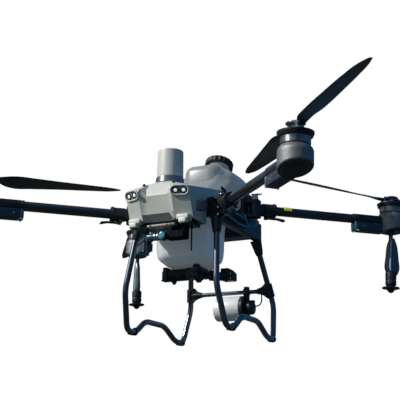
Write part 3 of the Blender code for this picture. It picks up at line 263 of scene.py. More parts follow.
def sweep(path, radius, side, turns=20):
    """A circle carried along a path: p + r (cos a n + sin a b), n the side made square to the path."""
    path = np.asarray(path, float)
    along = np.gradient(path, axis=0)
    along /= np.linalg.norm(along, axis=1, keepdims=True)
    side = np.asarray(side, float)
    n = side - along * (along @ side)[:, None]
    n /= np.linalg.norm(n, axis=1, keepdims=True)
    b = np.cross(along, n)
    angle = circle(turns)[None, :, None]
    return grid(path[:, None] + radius * (np.cos(angle) * n[:, None] + np.sin(angle) * b[:, None]))


def prism(outline, low, high, edge, matrix, steps=3):
    """An outline raised between two heights, its rims inset e (1 - sin t) at a height e (1 - cos t)."""
    low, high = sorted((low, high))
    outline = np.asarray(outline, float)
    along = np.roll(outline, -1, 0) - np.roll(outline, 1, 0)
    out = np.stack([along[:, 1], -along[:, 0]], -1)
    out /= np.linalg.norm(out, axis=1, keepdims=True)
    x, y = outline.T
    out *= math.copysign(1.0, np.sum(x * np.roll(y, -1) - y * np.roll(x, -1)))
    t = np.linspace(0, QUARTER, steps + 1)
    inset = edge * (1 - np.sin(t))
    rise = edge * (1 - np.cos(t))
    inset = np.concatenate([inset, inset[::-1]])
    level = np.concatenate([low + rise, high - rise[::-1]])
    flat = outline[None] - inset[:, None, None] * out[None]
    return loft(flat[..., 0], flat[..., 1], level[:, None], matrix)


def rectangle(half_x, half_y, radius, steps=5):
    """An outline with four quarter-round corners."""
    t = np.linspace(0, QUARTER, steps + 1)
    quarter = np.stack([np.cos(t), np.sin(t)], -1) * radius
    centre = np.array([half_x - radius, half_y - radius])
    spin = np.array([[0.0, -1.0], [1.0, 0.0]])
    parts = []
    for sign in ((1, 1), (-1, 1), (-1, -1), (1, -1)):
        parts.append(quarter + centre * np.array(sign))
        quarter = quarter @ spin.T
    return np.concatenate(parts)


def box(first, second, edge, matrix=None):
    """A block with rounded edges between two opposite corners."""
    first, second = np.asarray(first, float), np.asarray(second, float)
    where = shift(*(first + second) / 2)
    half = np.abs(second - first) / 2
    edge = min(edge, 0.7 * half.min())
    where = where if matrix is None else matrix @ where
    return prism(rectangle(half[0], half[1], 1.35 * edge), -half[2], half[2], edge, where)


def softened(outline, reach):
    """A closed outline with its corners rounded."""
    outline = np.asarray(outline, float)
    return rounded(np.concatenate([outline[-1:], outline, outline[:1]]), reach, 4)[1:-1]


def stadium(half_length, radius):
    """An outline with two straight sides and round ends."""
    return rectangle(half_length, radius, radius * 0.999, 10)


def screw(spot, matrix, radius=0.004, tall=0.002):
    """A socket screw head with a hollow, its axis along Z of the frame."""
    profile = [(radius * 0.45, tall * 0.35), (radius * 0.55, tall), (radius * 0.85, tall),
               (radius, tall * 0.75), (radius, -tall)]
    return lathe(profile, matrix @ shift(*spot), 16)


# Finishes


def feed(tree, node, sockets):
    """Sets sockets of a node to values, or links them to other sockets."""
    for socket, value in sockets.items():
        if isinstance(value, bpy.types.NodeSocket):
            tree.links.new(value, node.inputs[socket])
        else:
            node.inputs[socket].default_value = value


def add(tree, kind, sockets, **settings):
    """The outputs of a new node with its settings made and its sockets fed."""
    node = tree.nodes.new(f"ShaderNode{kind}")
    for name, value in settings.items():
        setattr(node, name, value)
    feed(tree, node, sockets)
    return node.outputs


def maths(tree, operation, *values):
    """A sum, product or the like of sockets and numbers."""
    return add(tree, "Math", dict(enumerate(values)), operation=operation)["Value"]


def noise(tree, scale, detail, source="Object", stretch=None):
    """A noise pattern on Object coordinates or on the map of the surface."""
    spot = add(tree, "TexCoord", {})[source]
    if stretch is not None:
        spot = add(tree, "Mapping", {"Scale": stretch, "Vector": spot})["Vector"]
    return add(tree, "TexNoise", {"Scale": scale, "Detail": detail, "Vector": spot})["Fac"]


def spread(tree, factor, low, high, start=0.3, stop=0.7):
    """Maps a range of a pattern onto a range of values."""
    ends = {"From Min": start, "From Max": stop, "To Min": low, "To Max": high}
    return add(tree, "MapRange", {"Value": factor, **ends})["Result"]


def tint(tree, factor, dark, light):
    """Mixes two colours by a pattern; the second may come from a socket."""
    light = light if isinstance(light, bpy.types.NodeSocket) else (*light, 1.0)
    return add(tree, "Mix", {"Factor": factor, "A": (*dark, 1.0), "B": light}, data_type="RGBA")["Result"]


def relief(tree, height, strength, distance):
    """Normals bent by a pattern."""
    return add(tree, "Bump", {"Strength": strength, "Distance": distance, "Height": height})["Normal"]


def new_finish(name):
    """A node material and its tree."""
    made = bpy.data.materials.new(name)
    made.use_nodes = True
    return made, made.node_tree


def finished(made, colour, rough, normal, extra):
    """Feeds the shader of a finish; extra sockets come by name, spaces as underscores."""
    sockets = {"Base Color": colour, "Roughness": rough, "Normal": normal}
    sockets.update((name.replace("_", " "), value) for name, value in extra.items())
    feed(made.node_tree, made.node_tree.nodes["Principled BSDF"], sockets)
    return made


def moulded(name, colour, vary, rough, grain, depth, **extra):
    """Moulded or cast stuff: cloudy tone, uneven gloss and a fine grain of a given size in metres."""
    made, tree = new_finish(name)
    dark, light = ([min(1.0, c * share) for c in colour] for share in (1 - vary, 1 + vary))
    cloud = spread(tree, noise(tree, 28.0, 4.0), 0.0, 1.0)
    smear = spread(tree, noise(tree, 75.0, 5.0), rough - 0.06, rough + 0.06)
    fine = relief(tree, noise(tree, 1.0 / grain, 3.0), depth, grain * 0.5)
    return finished(made, tint(tree, cloud, dark, light), smear, fine, extra)


def painted_dome_shade(made, low, high, dim):
    """Painted shade on milky plastic: the colour is scaled from 1 at height low to dim at high, so the upper
    dome reads darker as if in shade.
    """
    tree = made.node_tree
    shader = tree.nodes["Principled BSDF"]
    plain = shader.inputs["Base Color"].links[0].from_socket
    height = add(tree, "SeparateXYZ", {"Vector": add(tree, "TexCoord", {})["Object"]})["Z"]
    share = spread(tree, height, 1.0, dim, low, high)
    scaled = add(tree, "VectorMath", {0: plain, "Scale": share}, operation="SCALE")["Vector"]
    feed(tree, shader, {"Base Color": scaled})


def brushed(name, colour, rough, **extra):
    """Turned metal: fine rings along u of the surface map, with uneven gloss."""
    made, tree = new_finish(name)
    rings = noise(tree, 1.0, 4.0, "UV", (14.0, 2600.0, 1.0))
    tone = tint(tree, spread(tree, rings, 0.0, 1.0), [c * 0.82 for c in colour], colour)
    gloss = spread(tree, rings, rough - 0.05, rough + 0.08)
    return finished(made, tone, gloss, relief(tree, rings, 0.12, 0.0004), {"Metallic": 1.0, **extra})


def woven(name, dark, light, rough, yarn=0.0028, **extra):
    """Twill of carbon yarn on the surface map: over where floor(u) + floor(v) leaves 0 or 1 after four."""
    made, tree = new_finish(name)
    spot = add(tree, "TexCoord", {})["UV"]
    spot = add(tree, "VectorMath", {0: spot, "Scale": 1.0 / yarn}, operation="SCALE")["Vector"]
    spot = add(tree, "VectorMath", {0: spot}, operation="FLOOR")["Vector"]
    cell = add(tree, "SeparateXYZ", {"Vector": spot})
    step = maths(tree, "FLOORED_MODULO", maths(tree, "ADD", cell["X"], cell["Y"]), 4.0)
    fibre = noise(tree, 1.0, 2.0, "UV", (4200.0, 900.0, 1.0))
    over = maths(tree, "LESS_THAN", step, 1.5)
    blend = maths(tree, "MULTIPLY_ADD", over, 0.75, spread(tree, fibre, 0.0, 0.25))
    gloss = spread(tree, fibre, rough - 0.05, rough + 0.05)
    return finished(made, tint(tree, blend, dark, light), gloss, relief(tree, blend, 0.05, 0.0001), extra)


SHELL = moulded("shell_grey", (0.545, 0.555, 0.505), 0.035, 0.4, 0.0011, 0.1)
BLACK = moulded("black_plastic", (0.014, 0.016, 0.02), 0.25, 0.42, 0.001, 0.16, Specular_IOR_Level=0.32)
FRAME = moulded("frame_black", (0.012, 0.015, 0.02), 0.25, 0.36, 0.0014, 0.14, Specular_IOR_Level=0.38)
CAST = moulded("cast_pod", (0.185, 0.19, 0.195), 0.22, 0.46, 0.0022, 0.9, Metallic=0.6)
# Painted glow: the tank's emission stands in for light passing through its milky wall; the tank is no lamp.
TANK = moulded("tank_milk_painted_light", (0.58, 0.6, 0.61), 0.03, 0.34, 0.0022, 0.08, Subsurface_Weight=0.6,
               Subsurface_Radius=(1.0, 1.0, 1.0), Subsurface_Scale=0.03, Emission_Strength=0.066,
               Emission_Color=(0.82, 1.0, 1.06, 1.0))
# Painted shade: the tank's colour darkens from height 0.48 to 0.56 and stays at 0.32 of it above, standing in
# for the shade on its dome.
painted_dome_shade(TANK, 0.48, 0.56, 0.32)
SILVER = moulded("silver_cover", (0.92, 0.92, 0.9), 0.03, 0.3, 0.0012, 0.06, Metallic=0.25)
RUBBER = moulded("rubber", (0.012, 0.012, 0.013), 0.25, 0.62, 0.001, 0.2)
CREAM = moulded("cream_clip", (0.66, 0.66, 0.58), 0.04, 0.38, 0.0012, 0.08)
SENSOR = moulded("sensor_strip", (0.2, 0.185, 0.155), 0.08, 0.36, 0.0012, 0.08)
LAMP_GREY = moulded("lamp_grey", (0.26, 0.25, 0.26), 0.1, 0.3, 0.0014, 0.06)
SLATE = moulded("slate_panel", (0.15, 0.155, 0.165), 0.2, 0.45, 0.0012, 0.12, Specular_IOR_Level=0.3)
YOKE = moulded("yoke_black", (0.006, 0.009, 0.013), 0.25, 0.8, 0.001, 0.14, Specular_IOR_Level=0.03)
# Painted reflection: the controller box's blue tint stands in for the blue sky seen in its glossy dark sides.
BOX_SKY_TINT = moulded("controller_box_painted_sky", (0.018, 0.026, 0.042), 0.22, 0.3, 0.0012, 0.12, Coat_Weight=0.25)
# Painted reflection: the fairing's teal tint stands in for blue sky mirrored on its glossy black plastic.
FAIRING = moulded("fairing_painted_sky", (0.032, 0.062, 0.078), 0.2, 0.24, 0.002, 0.04, Coat_Weight=0.4)
GLAZE = moulded("end_cap_blue", (0.022, 0.08, 0.125), 0.15, 0.24, 0.002, 0.04, Coat_Weight=0.5)
HOSE = moulded("hose_blue", (0.055, 0.19, 0.24), 0.18, 0.3, 0.002, 0.05, Coat_Weight=0.3)
PALE = moulded("pale_fitting", (0.42, 0.44, 0.44), 0.06, 0.36, 0.0014, 0.08)
TAG = moulded("yellow_tag", (0.78, 0.66, 0.03), 0.06, 0.45, 0.0015, 0.06)
CARBON = woven("carbon_tube", (0.006, 0.007, 0.01), (0.014, 0.016, 0.02), 0.27, Coat_Weight=0.6)
GEAR = woven("carbon_gear", (0.056, 0.064, 0.078), (0.074, 0.084, 0.102), 0.26, Metallic=0.85,
             Coat_Weight=1.0, Coat_Roughness=0.1)
BLADE = woven("carbon_blade", (0.018, 0.019, 0.021), (0.032, 0.033, 0.036), 0.4, 0.0045)
STEEL = brushed("turned_metal", (0.55, 0.56, 0.58), 0.24)
RING_METAL = brushed("ring_metal", (0.33, 0.34, 0.355), 0.44, Anisotropic=0.8, Anisotropic_Rotation=0.25)
HUB_METAL = brushed("hub_metal", (0.34, 0.39, 0.45), 0.3)
DARK_METAL = brushed("dark_metal", (0.1, 0.105, 0.115), 0.34)
LENS = moulded("lamp_lens", (0.72, 0.8, 0.82), 0.05, 0.1, 0.004, 0.02, Coat_Weight=0.6,
               Emission_Color=(0.8, 0.9, 0.95, 1), Emission_Strength=0.45)
TEAL = moulded("camera_glass", (0.03, 0.26, 0.32), 0.25, 0.1, 0.004, 0.02, Coat_Weight=1.0)
GREEN = moulded("green_light", (0.02, 0.5, 0.22), 0.1, 0.18, 0.003, 0.02,
                Emission_Color=(0.03, 0.9, 0.4, 1), Emission_Strength=0.45)
ICE = moulded("blue_light", (0.16, 0.42, 0.66), 0.1, 0.18, 0.003, 0.02,
              Emission_Color=(0.1, 0.45, 0.8, 1), Emission_Strength=0.1)


# Pieces


def piece(name, shells, finish, body="airframe", stands_for=(), sharp=SHARP_ANGLE):
    """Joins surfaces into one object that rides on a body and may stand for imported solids."""
    start = 0
    points, faces, corners = [], [], []
    for some_points, some_faces, some_corners in shells:
        points.append(some_points)
        faces.extend([[i + start for i in face] for face in some_faces])
        corners.extend(some_corners)
        start += len(some_points)
    mesh = bpy.data.meshes.new(name)
    mesh.from_pydata(np.concatenate(points).tolist(), [], faces)
    layer = mesh.uv_layers.new(name="surface")
    layer.data.foreach_set("uv", np.concatenate(corners).astype(np.float32).ravel())
    mesh.polygons.foreach_set("use_smooth", np.ones(len(faces), bool))
    mesh.set_sharp_from_angle(angle=math.radians(sharp))
    mesh.materials.append(finish)
    item = bpy.data.objects.new(name, mesh)
    bpy.context.scene.collection.objects.link(item)
    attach(item, body)
    if stands_for:
        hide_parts(*stands_for)
    return item


def dress(node, finish, width):
    """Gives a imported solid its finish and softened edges, its mesh left as it is."""
    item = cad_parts[node]
    item.data.materials.clear()
    item.data.materials.append(finish)
    item.data.polygons.foreach_set("use_smooth", np.ones(len(item.data.polygons), bool))
    weld = item.modifiers.new("weld", "WELD")
    weld.merge_threshold = 0.00002
    flat = item.modifiers.new("flat", "DECIMATE")
    flat.decimate_type = "DISSOLVE"
    flat.angle_limit = math.radians(1.0)
    soft = item.modifiers.new("soft", "BEVEL")
    soft.width = width
    soft.segments = 2
    soft.limit_method = "ANGLE"
    soft.angle_limit = math.radians(34.0)
    even = item.modifiers.new("even", "WEIGHTED_NORMAL")
    even.keep_sharp = True


# Nose, radar and what hangs under them


def lamp_seat(side):
    """The frame of a lamp: X along it, Y up the leaning cheek, Z out of it."""
    lean = math.atan2(NOSE_FRONT - NOSE_CHIN, BROW_HEIGHT)
    y = -(NOSE_CHIN + (NOSE_FRONT - NOSE_CHIN) * LAMP_HEIGHT / BROW_HEIGHT)
    y += (LAMP_X - CHEEK_INNER) * math.tan(CHEEK_TOE)
    spot = shift(side * LAMP_X, y, NOSE_FLOOR + LAMP_HEIGHT)
    return spot @ turn("Z", side * CHEEK_TOE) @ turn("X", lean) @ FACE_FRONT


def make_lamps():
    """Each lamp: a grey window in a pale lip, with two bright lenses in wide dark rings."""
    half, tall, lip = LAMP_LENGTH / 2, LAMP_TALL / 2, 0.0035
    rim = stadium(half + lip, tall + lip)
    rim = np.concatenate([rim, rim[:1]])
    rim = np.concatenate([rim, np.full((len(rim), 1), 0.001)], -1)
    ring = [(0.0074, 0.0), (0.0078, 0.0014), (0.0098, 0.0024), (0.0128, 0.0026), (0.0138, 0.0018),
            (0.0142, 0.0)]
    for side, name in SIDES:
        seat = lamp_seat(side)
        window = prism(stadium(half, tall), -0.0082, 0.0012, 0.0008, seat)
        piece(f"lamp_window_{name}", [window], LAMP_GREY, stands_for=[f"lamp_{name}"])
        piece(f"lamp_lip_{name}", [sweep(place(rim, seat), 0.0042, seat[:3, 2], 12)], SHELL)
        spots = [seat @ shift(x, 0, 0.001) for x in (-0.0165, 0.0165)]
        piece(f"lamp_rings_{name}", [lathe(ring, spot, 40) for spot in spots], BLACK)
        piece(f"lamp_lenses_{name}", [dome(0.0076, -0.001, 0.0006, 0.0026, spot) for spot in spots], LENS)


def make_front_radar():
    """The radar drum: a slightly tapered wall, a rounded rim and a nearly flat top, on a dark ring."""
    seat = shift(0, RADAR_Y, NOSE_ROOF)
    top = CLEAR + BASE_HEIGHT
    r = BASE_RADIUS
    base = [(RADAR_RADIUS - 0.004, top), (r - 0.001, top), (r, 0.006), (r, CLEAR), (r - 0.004, CLEAR)]
    piece("radar_ring", [turned(base, 0.0035, 6, seat, 72)], RING_METAL, stands_for=["radar_base"])
    low = top + CLEAR
    high = low + RADAR_HEIGHT
    rim = RADAR_RADIUS - 0.002
    wall = [(RADAR_RADIUS - 0.003, low), (RADAR_RADIUS, low), (rim, high), (rim * 0.5, high + 0.0035),
            (0.0, high + 0.004)]
    piece("radar_cover", [turned(wall, 0.006, 8, seat, 96)], SHELL, stands_for=["radar_drum"])


def make_under_nose():
    """Sensor strip with windows, camera on a lying barrel with bright bands, antennas with collars."""
    top = TRAY_BOTTOM - CLEAR
    strip = shift(0, -TRAY_FRONT, top)
    housing = box((-SENSOR_HALF, -0.016, -0.013), (SENSOR_HALF, 0.014, 0.0), 0.0045, strip)
    piece("sensor_housing", [housing], SENSOR, stands_for=["sensor_bar"])
    face = strip @ shift(0, -0.016, -0.0062) @ FACE_FRONT
    windows = []
    for x, half in ((-0.046, 0.006), (0.03, 0.004), (0.047, 0.0045)):
        windows.append(prism(stadium(half, 0.0028), -0.001, 0.0007, 0.0004, face @ shift(x, 0, 0)))
    piece("sensor_windows", windows, RUBBER)
    r = CAMERA_RADIUS
    middle = shift(0, CAMERA_Y, TRAY_BOTTOM - CAMERA_DROP)
    lying = middle @ ALONG_X
    sight = middle @ shift(0.01, 0, -0.002) @ turn("X", QUARTER)
    core = [(0.004, -0.013), (r - 0.001, -0.013), (r, -0.011), (r, 0.013), (r - 0.003, 0.0185),
            (0.004, 0.0185)]
    hood = [(0.01, 0.0), (0.0188, 0.0), (0.0188, 0.029), (0.0178, 0.0312), (0.017, 0.0312),
            (0.0166, 0.027), (0.004, 0.027)]
    shells = [turned(core, 0.0015, 3, lying, 48), turned(hood, 0.0008, 3, sight, 48)]
    piece("camera_barrel", shells, BLACK, "camera", ["camera"])
    bands = []
    for start, stop in ((-0.022, -0.014), (-0.035, -0.0275)):
        band = [(0.012, start), (r - 0.0008, start), (r - 0.0008, stop), (0.012, stop)]
        bands.append(turned(band, 0.0012, 3, lying, 48))
    piece("camera_bands", bands, STEEL, "camera")
    motor = [(0.01, -0.012), (r - 0.003, -0.012), (r - 0.003, -0.035), (r - 0.0012, -0.0365),
             (r - 0.0012, -0.066), (r - 0.004, -0.07), (0.004, -0.0705)]
    piece("camera_motor", [turned(motor, 0.0015, 3, lying, 48)], GLAZE, "camera")
    piece("camera_lens", [dome(0.0164, 0.0255, 0.0268, 0.004, sight)], TEAL, "camera")
    tip = -ANTENNA_LENGTH
    mast = [(0.006, 0.0), (0.006, -0.0088), (0.0052, -0.0102), (0.004, -0.012), (0.0035, -0.018),
            (0.003, tip + 0.004), (0.0024, tip + 0.0008), (0.0012, tip)]
    for side, name in SIDES:
        rod = lathe(mast, shift(side * ANTENNA_X, ANTENNA_Y, top), 24)
        piece(f"antenna_rod_{name}", [rod], RUBBER, stands_for=[f"antenna_{name}"])


def make_nose_trim():
    """Roof nubs, clips at the lower front corners, side panels with slats, and screws of the nose."""
    nub = [(0.0062, 0.0), (0.0062, 0.011), (0.0052, 0.0125), (0.002, 0.013)]
    rim = [(0.006, -0.002), (0.0092, -0.002), (0.0092, 0.0028), (0.0082, 0.0038), (0.006, 0.0038)]
    lean = turn("X", math.radians(40.0))
    for name, profile, finish in (("roof_nubs", nub, RUBBER), ("roof_rims", rim, SHELL)):
        spots = [shift(side * 0.069, -0.3545, NOSE_ROOF - 0.0262) @ lean for side, _ in SIDES]
        piece(name, [lathe(profile, spot, 24) for spot in spots], finish)
    chin = shift(0, -NOSE_CHIN, NOSE_FLOOR)
    for name, finish, near, far, edge in (
        ("clip_flares", SHELL, (0.083, -0.0065, -0.009), (0.139, 0.024, 0.013), 0.005),
        ("cheek_clips", CREAM, (0.097, -0.013, -0.024), (0.131, 0.012, -0.004), 0.0035),
        ("clip_soles", BLACK, (0.1, -0.01, -0.029), (0.128, 0.012, -0.023), 0.0015),
    ):
        piece(name, [box(mirror(near, side), mirror(far, side), edge, chin) for side, _ in SIDES], finish)
    borders, slats, heads = [], [], []
    panel = np.array([(-0.306, 0.466), (-0.174, 0.495), (-0.179, 0.539), (-0.303, 0.511)])
    middle = panel.mean(0)
    for side, _ in SIDES:
        inner = side * (NOSE_HALF - 0.004)
        borders.append(prism(softened(panel, 0.006), inner, side * (NOSE_HALF + 0.0008), 0.0004, TO_SIDE))
        for share in (-0.72, -0.24, 0.24, 0.72):
            slat = middle + (panel - middle) * (SLAT_LONG, SLAT_THIN) + (0.0, 0.017 * share)
            slat[:, 1] += PANEL_SLOPE * (SLAT_LONG - SLAT_THIN) * (slat[:, 0] - middle[0])
            slats.append(prism(softened(slat, 0.0018), inner, side * (NOSE_HALF + 0.0018), 0.0006, TO_SIDE))
        for y, z in ((-0.331, 0.547), (-0.166, 0.5545), (-0.322, 0.452)):
            where = shift(side * NOSE_HALF, y, z) @ turn("Y", side * QUARTER)
            heads.append(screw((0, 0, 0), where, 0.0042, 0.0014))
        for z in (0.4945, 0.4645):
            heads.append(screw((side * 0.206, z, 0.229), FACE_FRONT, 0.0046, 0.002))
    piece("side_panels", borders, SLATE)
    piece("side_slats", slats, LAMP_GREY)
    piece("side_screws", heads, STEEL)


# Tank and pump


def tank_body():
    """Rings of the tank: r(a) = (sum of max(0, cos(a - a_k) / d_k)^p)^(-1/p), a soft eight-sided outline.

    Height, middle and the two half widths run straight between the rows of a table, bent smoothly at each.
    """
    tall, wide, sink = TANK_RISE, TANK_HALF, TANK_SINK
    table = np.array([
        (-sink, -0.062, 0.5 * wide, 0.08), (-sink, -0.062, 0.58 * wide, 0.09),
        (-sink + 0.034, -0.066, 0.88 * wide, 0.126), (-sink + 0.076, -0.067, 0.92 * wide, 0.131),
        (0.0, -0.064, 0.925 * wide, 0.131), (0.043, -0.046, 0.925 * wide, 0.149),
        (0.098, 0.000, 0.935 * wide, 0.187), (0.54 * tall, 0.104, 0.97 * wide, 0.168),
        (0.72 * tall, 0.162, wide, 0.152), (0.827 * tall, 0.169, 0.955 * wide, 0.144),
        (0.918 * tall, 0.176, 0.77 * wide, 0.116), (0.979 * tall, 0.184, 0.55 * wide, 0.082),
        (0.99 * tall, 0.186, 0.45 * wide, 0.068),
    ])
    height, middle, half_x, half_y = spaced(rounded(table, 0.016, 6), 0.005).T
    angle = circle(144)
    slope = np.maximum(0.0, np.cos(angle[:, None] - np.arange(8) * math.pi / 4))
    corner = 0.8 * np.hypot(half_x, half_y)
    far = np.stack([half_x, corner, half_y, corner] * 2, -1)
    power = 34.0
    radius = ((slope[None] / far[:, None]) ** power).sum(-1) ** (-1 / power)
    y = radius * np.sin(angle) + middle[:, None]
    return loft(radius * np.cos(angle), y, height[:, None], shift(0, 0, DECK))


def make_tank():
    """The tank with its front lobe, ledges and filler neck, and the ribbed cap with a ring and a knob."""
    neck = shift(0, NECK_Y, DECK + NECK_RISE) @ turn("X", -NECK_TILT)
    lobe = box((-0.088, 0.004, DECK + 0.15), (0.088, 0.116, DECK + 0.318), 0.036)
    r = NECK_RADIUS
    collar = [(r + 0.016, -0.055), (r + 0.01, -0.03), (r + 0.004, -0.014), (r, -0.004),
              (r, NECK_TOP - 0.001), (r - 0.001, NECK_TOP)]
    shells = [tank_body(), lobe, lathe(collar, neck, 72)]
    for side, _ in SIDES:
        near, far = side * TANK_HALF * 0.88, side * 0.166
        shells.append(box((near, -0.03, RAIL_TOP + CLEAR), (far, 0.06, RAIL_TOP + 0.012), 0.003))
    piece("tank_shell", shells, TANK, stands_for=["tank"])
    lid = neck @ shift(0, 0, NECK_TOP + 0.008)
    low, r = -CAP_HEIGHT, CAP_RADIUS
    grip = [(NECK_RADIUS + 0.0012, low), (r - 0.002, low), (r, low + 0.002), (r, -0.006), (r - 0.001, -0.003),
            (r - 0.004, -0.0005), (r - 0.01, 0.003), (r - 0.022, 0.0055), (0.02, 0.006), (0.0, 0.006)]
    share = np.array([0, 1, 1, 1, 1, 0.6, 0, 0, 0, 0])[:, None]
    dip = 0.0032 * np.clip(0.5 - 1.3 * np.cos(18 * circle(216)), 0.0, 1.0)
    piece("cap_grip", [lathe(grip, lid, 216, share * dip)], BLACK, "tank_cap", ["tank_cap"], 50.0)
    angle = np.linspace(-0.35 * math.pi, 1.35 * math.pi, 40)
    x, z = -0.0545 + 0.0125 * np.cos(angle), 0.0105 + 0.0125 * np.sin(angle)
    loop = np.stack([x, np.full(40, -0.004), z], -1)
    knob = [(0.0062, 0.002), (0.0062, 0.01), (0.005, 0.0118), (0.002, 0.0122)]
    shells = [sweep(place(loop, lid), 0.0028, (0, 1, 0), 14), lathe(knob, lid @ shift(-0.026, -0.006, 0), 20)]
    piece("cap_ring", shells, RUBBER, "tank_cap")


def make_pump():
    """Under the tank: a ribbed motor can, a valve block with a drain, a coupling, a box and fittings."""
    seat = shift(0, -0.062, DECK - TANK_SINK - CLEAR - 0.022)
    can = [(0.008, -0.102), (0.02, -0.102), (0.024, -0.099)]
    for k in range(7):
        x = -0.094 + 0.0115 * k
        can += [(0.0245, x), (0.0275, x + 0.001), (0.0275, x + 0.0065), (0.0245, x + 0.0075)]
    can += [(0.0245, -0.01), (0.008, -0.008)]
    foot = [(0.012, -0.02), (0.012, -0.03), (0.005, -0.041), (0.002, -0.042)]
    drain = [(0.021, -0.01), (0.021, -0.027), (0.013, -0.033), (0.01, -0.039), (0.002, -0.04)]
    post = [(0.017, -0.004), (0.017, 0.018), (0.013, 0.025), (0.004, 0.026)]
    coupling, run = aim((0.045, 0.032, 0.0), (0.116, 0.124, 0.0))
    joint = [(0.016, 0.0), (0.0205, 0.002), (0.0205, 0.018), (0.017, 0.02), (0.017, 0.032),
             (0.0235, 0.034), (0.0235, 0.052), (0.019, 0.055), (0.019, run)]
    side = [(0.09, -0.016), (0.147, -0.016), (0.147, 0.018), (0.126, 0.038), (0.09, 0.038)]
    front = seat @ FACE_FRONT
    piece("pump_body", [
        lathe(can, seat @ ALONG_X, 44),
        box((-0.121, -0.03, -0.022), (-0.1, 0.03, 0.032), 0.003, seat),
        box((-0.134, -0.018, -0.025), (-0.098, 0.018, -0.0195), 0.0015, seat),
        lathe(foot, seat @ shift(-0.079, 0, 0), 20),
        box((-0.012, -0.034, -0.02), (0.06, 0.046, 0.022), 0.006, seat),
        turned(drain, 0.002, 3, seat @ shift(0.04, 0, 0), 28),
        lathe(post, seat @ shift(0.062, -0.066, 0), 24),
        box((0.04, -0.072, 0.0), (0.084, 0.002, 0.014), 0.004, seat),
        lathe(joint, seat @ coupling, 36),
        prism(softened(side, 0.005), -0.16, -0.108, 0.003, front),
    ], BLACK, stands_for=["pump_unit"])
    piece("pump_plug", [box((-0.133, -0.016, -0.019), (-0.1215, 0.016, 0.019), 0.003, seat)], PALE)
    spots = [(x, rise, -0.108) for x in (0.098, 0.139) for rise in (-0.008, 0.012)]
    piece("pump_screws", [screw(spot, front, 0.0036, 0.0016) for spot in spots], STEEL)


def make_hoses():
    """Bent supply pipes out of the way of the rear arms: a circle carried along a rounded line."""
    lines = [
        [(0.158, 0.16, 0.53), (0.19, 0.152, 0.531), (0.218, 0.146, 0.529), (0.231, 0.142, 0.516),
         (0.226, 0.138, 0.5), (0.198, 0.136, 0.492)],
        [(0.186, 0.1, 0.522), (0.184, 0.1, 0.54), (0.168, 0.102, 0.553), (0.15, 0.106, 0.54),
         (0.152, 0.11, 0.514)],
        [(0.188, -0.12, 0.5), (0.192, -0.06, 0.488), (0.19, 0.02, 0.484), (0.189, 0.1, 0.49),
         (0.188, 0.14, 0.505)],
        [(0.187, -0.01, 0.524), (0.198, 0.03, 0.519), (0.199, 0.075, 0.515), (0.187, 0.112, 0.512)],
    ]
    for side, name in SIDES:
        paths = [spaced(rounded(mirror(line, side), 0.02, 5), 0.004) for line in lines]
        piece(f"supply_pipes_{name}", [sweep(path, HOSE_RADIUS, (0.1, 0.3, 1.0), 14) for path in paths], HOSE)


# Landing gear


def leg_point(side, height):
    """A point of the straight upper rear leg."""
    share = (height - REAR_BEND[2]) / (DECK - REAR_BEND[2])
    return mirror(np.array(REAR_BEND) + (np.array(REAR_TOP) - np.array(REAR_BEND)) * share, side)


def make_skids():
    """Bent tubes: straight runs between corners, each corner a smooth bend; sleeves, pads and foot clips."""
    half, rise = FOOT_LENGTH / 2, ARCH_HEIGHT - GEAR_LOW
    front, rear = FRONT_FOOT_Y, REAR_FOOT_Y
    ends = ((FRONT_TOP, FRONT_BEND), (REAR_TOP, REAR_BEND))
    legs = [((*top[:2], DECK - CLEAR), bend) for top, bend in ends]
    corners = [
        *legs[0], (GEAR_X - 0.002, front - half, GEAR_LOW), (GEAR_X, front + half, GEAR_LOW),
        (GEAR_X, front + half + 1.4 * rise, ARCH_HEIGHT), (GEAR_X, rear - half - 1.9 * rise, ARCH_HEIGHT),
        (GEAR_X, rear - half, GEAR_LOW), (GEAR_X - 0.002, rear + half, GEAR_LOW), *legs[1][::-1],
    ]
    line = spaced(rounded(corners, BEND_REACH, 10), 0.006)
    sleeve = [(0.0262, -0.002), (0.0262, 0.004), (0.025, 0.008), (0.0195, 0.05), (0.0165, 0.066),
              (0.015, 0.069), (0.0128, 0.0695)]
    clip = [(0.0128, -0.006), (0.0148, -0.005), (0.0148, 0.005), (0.0128, 0.006)]
    knob = [(0.0075, -0.004), (0.0075, 0.004), (0.006, 0.0068), (0.002, 0.0078)]
    for side, name in SIDES:
        tube = sweep(mirror(line, side), GEAR_RADIUS, (1, 0, 0), 28)
        piece(f"skid_tube_{name}", [tube], GEAR, stands_for=[f"skid_{name}"])
        seats = [aim(mirror(top, side), mirror(bend, side))[0] for top, bend in legs]
        piece(f"skid_sleeves_{name}", [lathe(sleeve, seat, 32) for seat in seats], FRAME)
        pads = []
        x = side * (GEAR_X - 0.001)
        for foot in (front, rear):
            spot = shift(x, foot, 0)
            pads.append(box((-0.007, -half * 0.55, 0.0), (0.007, half * 0.55, GEAR_LOW), 0.002, spot))
            y = foot + half * 0.8
            pads.append(lathe(clip, aim((x, y, GEAR_LOW + 0.001), (x, y + 0.02, GEAR_LOW + 0.004))[0], 28))
            pads.append(lathe(knob, shift(x, y, GEAR_LOW + GEAR_RADIUS), 20))
        piece(f"foot_clips_{name}", pads, RUBBER)


